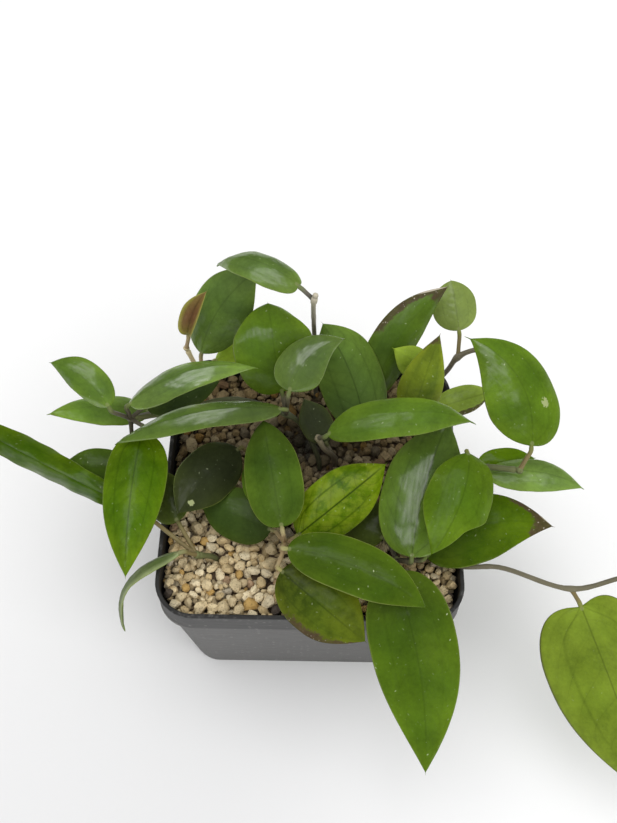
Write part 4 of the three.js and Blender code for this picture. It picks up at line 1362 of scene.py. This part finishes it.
def blades() -> list[Blade]:
    """The leaves, in order round each side of the plant."""
    bright, green, deep, in_shade = (t.value for t in (Tone.BRIGHT, Tone.GREEN, Tone.DEEP, Tone.IN_SHADE))
    olive, blotched, pale, young = (t.value for t in (Tone.OLIVE, Tone.BLOTCHED, Tone.PALE, Tone.YOUNG))
    pale_sheen = Tone.PALE_SHEEN.value
    umber = (0.075, 0.055, 0.035)
    return [
        Blade("leaf_back_1", "vine_back", 0, (-5, 38.7, 121.5), (-32, 53, 116), (0.1, 0, 1), 13.5, green,
              1.14, arch=5.5, hook=1.5, widest=0.4, lobe=2.5, bloom_and_sheen=0.09, gloss=0.6, nerve=0.2),
        Blade("leaf_back_2", "vine_back_left", 0, (-39.5, 42, 80), (-19, 55, 110), (-0.3, -0.75, 0.6), 22.5,
              deep, 1.86, sweep=-3, widest=0.45, full=1.2, painted_shade=-0.35, bloom_and_sheen=0.07, gloss=0.3, nerve=0.25),
        Blade("young_leaf", "vine_back_left", 1, (-43.5, 44, 88), (-36.5, 51, 103), (-0.3, -0.75, 0.6), 9,
              young, 1.71, arch=1.5, sweep=-1, curl=-0.3, keel=-0.6, flecks=0.1, rim=(0.22, 0.24, 0.06),
              rim_share=0.85, nerve=0.3),
        Blade("leaf_back_4", "vine_left", 0, (-10.5, 23, 85), (-15, 44, 105), (0.1, -0.6, 0.8), 27.5, green,
              1.11, arch=5, hook=5, sweep=-0.7, curl=0.2, widest=0.55, blunt=1, lobe=5, painted_shade=0.25,
              bloom_and_sheen=0.02, gloss=0.1, gloss_end=0.6, nerve=0.2),
        Blade("leaf_back_5", "vine_left", 0, (-7.5, 14.5, 98), (10, 30, 106), (0, -0.4, 0.9), 17, green,
              0.91, hook=1, sweep=-3.5, widest=0.26, full=1.1, bloom_and_sheen=0.08, gloss=1.0),
        Blade("leaf_back_6", "vine_middle", 0, (18, 14, 74), (3, 42, 98), (0.1, -0.6, 0.75), 25, deep, 1.43,
              sweep=2.5, keel=0.2, full=1.9, painted_shade=0.45, bloom_and_sheen=0.045, gloss=0.12, nerve=0.45),
        Blade("leaf_back_7", "vine_centre", 0, (5, 1, 96), (51, 6, 97), (0, -0.1, 1), 15, green, 1.21,
              arch=5, hook=3, dip=3, sweep=-1.5, tail=1.6, painted_shade=0.2, bloom_and_sheen=0.03, gloss=0.1, gloss_end=0.6),
        Blade("leaf_back_8", "vine_centre", 1, (5, 13, 68), (-3, 22, 82), VIEW, 12, in_shade, 0.93,
              bloom_and_sheen=0.07),
        Blade("leaf_right_1", "vine_middle", 0, (21, 27, 76), (46, 58, 99), (0.2, -0.6, 0.75), 17, green,
              0.95, sweep=-5, widest=0.33, painted_shade=0.45, bloom_and_sheen=0.03, gloss=0.1, gloss_end=0.2, left=1.15,
              dry=0.9, scorch=0.25),
        Blade("leaf_right_2", "vine_back_right", 0, (51, 49, 86), (48, 64, 95), VIEW, 17, pale, 0.93,
              arch=1, widest=0.5, full=1.6, blunt=1, bloom_and_sheen=0.16, gloss=0.4, nerve=0.2),
        Blade("leaf_right_3", "vine_right_back", 0, (34, 17, 80), (41, 32, 106), VIEW, 16, olive, 1.25,
              sweep=-0.5, widest=0.28, full=1.1, painted_shade=0.35, bloom_and_sheen=0.03, gloss=0.1, left=0.3, dry=0.62),
        Blade("leaf_right_4", "vine_right_back", 0, (41, 31, 84), (27, 35, 94), VIEW, 12, pale, 1.34,
              bloom_and_sheen=0.06),
        Blade("leaf_right_5", "vine_right_back", 0, (43, 25.5, 72), (63, 31, 75), VIEW, 11, pale, 1.51,
              bloom_and_sheen=0.12, right=1.1, nerve=0.25),
        Blade("leaf_right_6", "vine_right", 0, (70, -1, 92), (51, 31, 106), (0.2, -0.4, 0.85), 26.5, green,
              1.21, hook=1, sweep=6.5, widest=0.34, tail=1.4, painted_shade=0.2, flecks=1.0, bloom_and_sheen=0.015, gloss=0.05,
              gloss_end=0.7, blot=(6.0, 11.6, 1.3), nerve=0.2),
        Blade("leaf_right_7", "vine_right", 1, (58, -4, 78), (88, -9, 80), UP, 13, green, 1.63, hook=1,
              sweep=-2, bloom_and_sheen=0.13, gloss=0.35, nerve=0.25),
        Blade("leaf_right_8", "vine_right", 1, (56, 2.5, 74), (75, 4.5, 74.5), VIEW, 9.5, green, 1.47,
              bloom_and_sheen=0.0),
        Blade("leaf_right_9", "vine_right", 1, (50, -4, 93), (37, -36, 85), (0.1, -0.3, 0.95), 23, green,
              1.03, dip=3, sweep=-2.5, wave=1.5, widest=0.45, full=1.25, nip=-0.45, painted_shade=0.2, flecks=1.3,
              gloss=0.1, ripples=0.35, nerve=0.25),
        Blade("leaf_right_10", "vine_front_right", 0, (32, -33, 76), (45, 11, 88), (0, -0.3, 0.95), 28,
              green, 1.05, sweep=-2, painted_shade=-0.35, bloom_and_sheen=0.04, gloss=0.7, nerve=0.45),
        Blade("leaf_right_11", "vine_front_right", 0, (37, -31, 72), (78, -21, 75), (0, -0.3, 0.95), 24,
              bright, 0.61, arch=1, sweep=-5.5, full=1.1, painted_shade=0.55, flecks=0.5, bloom_and_sheen=0.0, gloss=0.1,
              left=0.55, dry=1.15),
        Blade("trailing_leaf", "vine_trailing", 0, (88.5, -41.5, 58), (112, -95, 28), VIEW, 39, pale, 0.87,
              widest=0.28, full=1.2, lobe=6, painted_shade=-0.15, flecks=0.3, bloom_and_sheen=0.03, gloss=0.1, rim=umber,
              rim_share=0.7, nerve=0.4),
        Blade("leaf_front_1", "vine_front_right", 0, (26, -40, 80), (36, -93, 52), (0, -0.4, 0.9), 28.5,
              green, 0.96, sweep=-2.9, curl=0.35, widest=0.34, full=1.15, painted_shade=0.5, flecks=1.3, gloss=0.12,
              gloss_end=0.2, spot=(1.6, 9.0, 0.62), nerve=0.2),
        Blade("leaf_front_2", "vine_front", 0, (-7, -34, 83), (35, -52, 82), (0, -0.3, 0.95), 18, green,
              0.71, sweep=-3, painted_shade=0.15, flecks=1.6, gloss_end=0.1, rim=(0.3, 0.34, 0.08), rim_share=0.7,
              nerve=0.2),
        Blade("leaf_front_3", "vine_front", 0, (-9, -37, 73), (17.5, -57.5, 67), VIEW, 22, olive, 0.76,
              curl=0.2, painted_shade=0.5, gloss=0.1, right=0.72, nerve=0.2),
        Blade("leaf_front_4", "vine_front", 0, (-4, -25, 74), (24, -4, 84), VIEW, 21, blotched, 0.9,
              bloom_and_sheen=0.0, gloss=0.1, nerve=0.8),
        Blade("leaf_front_5", "vine_front", 0, (-9, -27, 84), (-16, 9, 88), VIEW, 20, deep, 1.07, full=1.8,
              blunt=0.6, painted_shade=-0.45, flecks=0.3, gloss=0.05, rim=(0.22, 0.27, 0.05), rim_share=0.7,
              nerve=0.2),
        Blade("leaf_front_6", "vine_front", 0, (-13, -20, 67), (-38, -8, 66), VIEW, 19, deep, 0.86,
              painted_shade=0.35, bloom_and_sheen=0.03, gloss=0.1),
        Blade("leaf_front_7", "vine_left_middle", 0, (-25, 7, 73), (-43, -19, 76), VIEW, 20, in_shade, 0.57,
              sweep=1.5, bloom_and_sheen=0.03, blot=(-1.6, 26.6, 0.9)),
        Blade("leaf_front_8", "vine_left_middle", 0, (-21, 5, 68), (-19, -14, 72), VIEW, 7, deep, 1.36),
        Blade("leaf_front_9", "vine_front_right", 0, (24, -23, 68), (8, -8, 66), VIEW, 18, in_shade, 1.84),
        Blade("leaf_left_1", "vine_left", 1, (-60, 13, 91), (-19, 24, 98), (0, 0.05, 1), 13, green, 1.53,
              arch=6, hook=1, sweep=-1, keel=0.2, widest=0.35, full=1.3, painted_shade=0.25, bloom_and_sheen=0.1, gloss=1.0,
              lean=0.5, nerve=0.2),
        Blade("leaf_left_2", "vine_left", 0, (-10, 12, 91), (-64, 2, 84), UP, 11, green, 1.02, arch=8,
              keel=0.2, painted_shade=0.35, bloom_and_sheen=0.06, gloss=1.0, gloss_end=0.8, nerve=0.2),
        Blade("leaf_left_3", "vine_left", 1, (-56, 17, 83), (-32, 28, 83), VIEW, 12, deep, 0.58, arch=1,
              bloom_and_sheen=0.03),
        Blade("leaf_left_4", "vine_left", 1, (-56, 7, 84), (-58, -40, 73), VIEW, 22, bright, 0.82, sweep=1,
              widest=0.3, full=1.2, painted_shade=0.2, bloom_and_sheen=0.0, gloss=0.03, gloss_end=0.3, nerve=0.4),
        Blade("leaf_left_5", "vine_left", 1, (-66, 10, 94), (-86, 23, 100), VIEW, 12, green, 1.18, hook=1.5,
              sweep=3, bloom_and_sheen=0.05, gloss=0.9, gloss_end=0.3),
        Blade("leaf_left_6", "vine_left", 1, (-57, 21.5, 73.5), (-88, 13, 84), UP, 13, green, 1.74, sweep=1,
              widest=0.33, painted_shade=0.35, bloom_and_sheen=0.08, gloss=0.3, dry=0.5),
        Blade("leaf_left_7", "vine_front_left", 0, (-57, -16, 72), (-120, 13, 83), VIEW, 13, bright, 0.59,
              sweep=-0.5, keel=0.45, wave=2.2, widest=0.6, bloom_and_sheen=0.0, gloss=0.3, lean=-0.8, ripples=0.8,
              nerve=0.2),
        Blade("leaf_left_8", "vine_left", 1, (-62, 1, 68), (-85, 3, 68), VIEW, 14, deep, 1.05),
        Blade("leaf_left_9", "vine_front_left", 0, (-44, -18, 68), (-55, 2, 68), VIEW, 15, in_shade, 1.54),
        Blade("leaf_left_10", "vine_front_left", 0, (-42, -31, 72), (-63, -45, 39), (-0.65, 0.25, 0.6), 7,
              pale_sheen, 1.02, arch=8.5, curl=0.3, keel=0.2, bloom_and_sheen=0.05, gloss=0.25, nerve=0.3),
        Blade("leaf_left_11", "vine_back_left", 0, (-35, 44, 73), (-23, 46, 78), VIEW, 8, pale, 2.26,
              bloom_and_sheen=0.08),
    ]


# ---- studio ----


@dataclass
class Studio:
    """Camera, pale floor with painted light and shade, and soft light.

    focal and frame_height are in pixels of the picture, the angles in degrees, and eye and aim in
    millimetres. Each lamp has a name, a place and a side in metres, a power in watts, and whether it shows
    in the plant's shine.
    """

    focal: float = 979.0
    frame_height: float = 823.0
    elevation: float = 57.7
    yaw: float = -0.53
    roll: float = -0.45
    eye: Triple = (0.3, -159.6, 361.3)
    room_light: float = 0.82
    sensor: float = 36.0
    aim: Triple = (0.0, 0.0, 50.0)
    floor_size: float = 2.5
    floor_gap: float = 0.2
    clip: tuple[float, float] = (0.01, 20.0)
    paper: Triple = (0.93, 0.93, 0.93)
    paper_front_left_shade: Triple = (0.72, 0.72, 0.725)
    paper_front_right_light: Triple = (0.87, 0.87, 0.875)
    lamps: tuple[tuple[str, Triple, float, float, bool], ...] = (
        ("ceiling", (-0.18, 0.02, 1.15), 0.85, 3.6, True),
        ("window", (0.62, -0.72, 0.80), 1.0, 5.6, False),
    )

    def camera(self) -> None:
        """Places the camera: it looks down by the elevation, turned by the yaw and rolled."""
        lift, yaw, roll = np.radians([self.elevation, self.yaw, self.roll])
        ahead = np.array([np.sin(yaw) * np.cos(lift), np.cos(yaw) * np.cos(lift), -np.sin(lift)])
        right = np.array([np.cos(yaw), -np.sin(yaw), 0.0])
        down = np.cross(ahead, right)
        right, down = right * np.cos(roll) + down * np.sin(roll), down * np.cos(roll) - right * np.sin(roll)
        data = bpy.data.cameras.new("camera")
        data.sensor_width = self.sensor
        data.lens = self.focal * self.sensor / self.frame_height
        data.clip_start, data.clip_end = self.clip
        made = linked("camera", data)
        axes = np.stack([right, -down, -ahead], 1)
        made.matrix_world = Matrix.Translation(Vector(self.eye) * MM) @ Matrix(axes.tolist()).to_4x4()
        bpy.context.scene.camera = made

    def floor(self) -> None:
        """Lays the floor: white paper with painted shade, greyer towards the front and its left, and painted
        light that lifts the plant's shadow at the front right.
        """
        g = Graph("paper", specular_ior_level=0.2)
        place = g.place()
        x, y, _ = g.parts(place)
        # painted shade at the front left and painted light at the front right
        front = g.mix(self.paper_front_left_shade, self.paper_front_right_light, x.ramp(-0.05, 0.08))
        tone = g.mix(self.paper, front, y.ramp(0.14, -0.16))
        material = g.finish(tone, 0.7 + 0.1 * g.noise(place, 60.0), g.noise(place, 900.0), 0.02)
        mesh = bpy.data.meshes.new("floor")
        size = self.floor_size
        corners = [(-size, -size, 0), (size, -size, 0), (size, size, 0), (-size, size, 0)]
        mesh.from_pydata(corners, [], [(0, 1, 2, 3)])
        mesh.transform(Matrix.Translation((0, 0, -self.floor_gap * MM)))
        mesh.materials.append(material)
        linked("floor", mesh)

    def lamp(self, name: str, place: Triple, size: float, power: float, mirrored: bool) -> None:
        """Hangs a square soft light that faces the plant."""
        data = bpy.data.lights.new(name, "AREA")
        data.shape, data.size, data.energy = "SQUARE", size, power
        made = linked(name, data)
        aim = Vector(self.aim) * MM - Vector(place)
        made.matrix_world = Matrix.Translation(place) @ aim.to_track_quat("-Z", "Y").to_matrix().to_4x4()
        made.visible_glossy = mirrored

    def build(self) -> None:
        """Sets up everything that isn't the plant."""
        scene = bpy.context.scene
        scene.view_settings.view_transform = "Standard"
        world = bpy.data.worlds.new("soft_room")
        world.use_nodes = True
        world.cycles_visibility.glossy = False
        background = world.node_tree.nodes["Background"]
        background.inputs["Color"].default_value = (1.0, 1.0, 1.0, 1.0)
        background.inputs["Strength"].default_value = self.room_light
        scene.world = world
        self.camera()
        self.floor()
        for row in self.lamps:
            self.lamp(*row)


def main() -> None:
    """Builds the studio, the pot, the pumice, the vines and the leaves."""
    logging.basicConfig(level=logging.INFO, format="%(name)s: %(message)s")
    Studio().build()
    pot = NurseryPot()
    pot.build()
    canes, leaves = vines(), blades()
    feet = [(v.cane[0][0], v.cane[0][1], v.radius) for v in canes]
    PumiceBed(pot, feet).build()
    bark, sheen_wax = BarkFinish().material(), LeafFinish().material()
    for vine in canes:
        vine.build([leaf for leaf in leaves if leaf.vine == vine.name], bark)
    for leaf in leaves:
        leaf.build(sheen_wax)


if __name__ == "__main__":
    main()
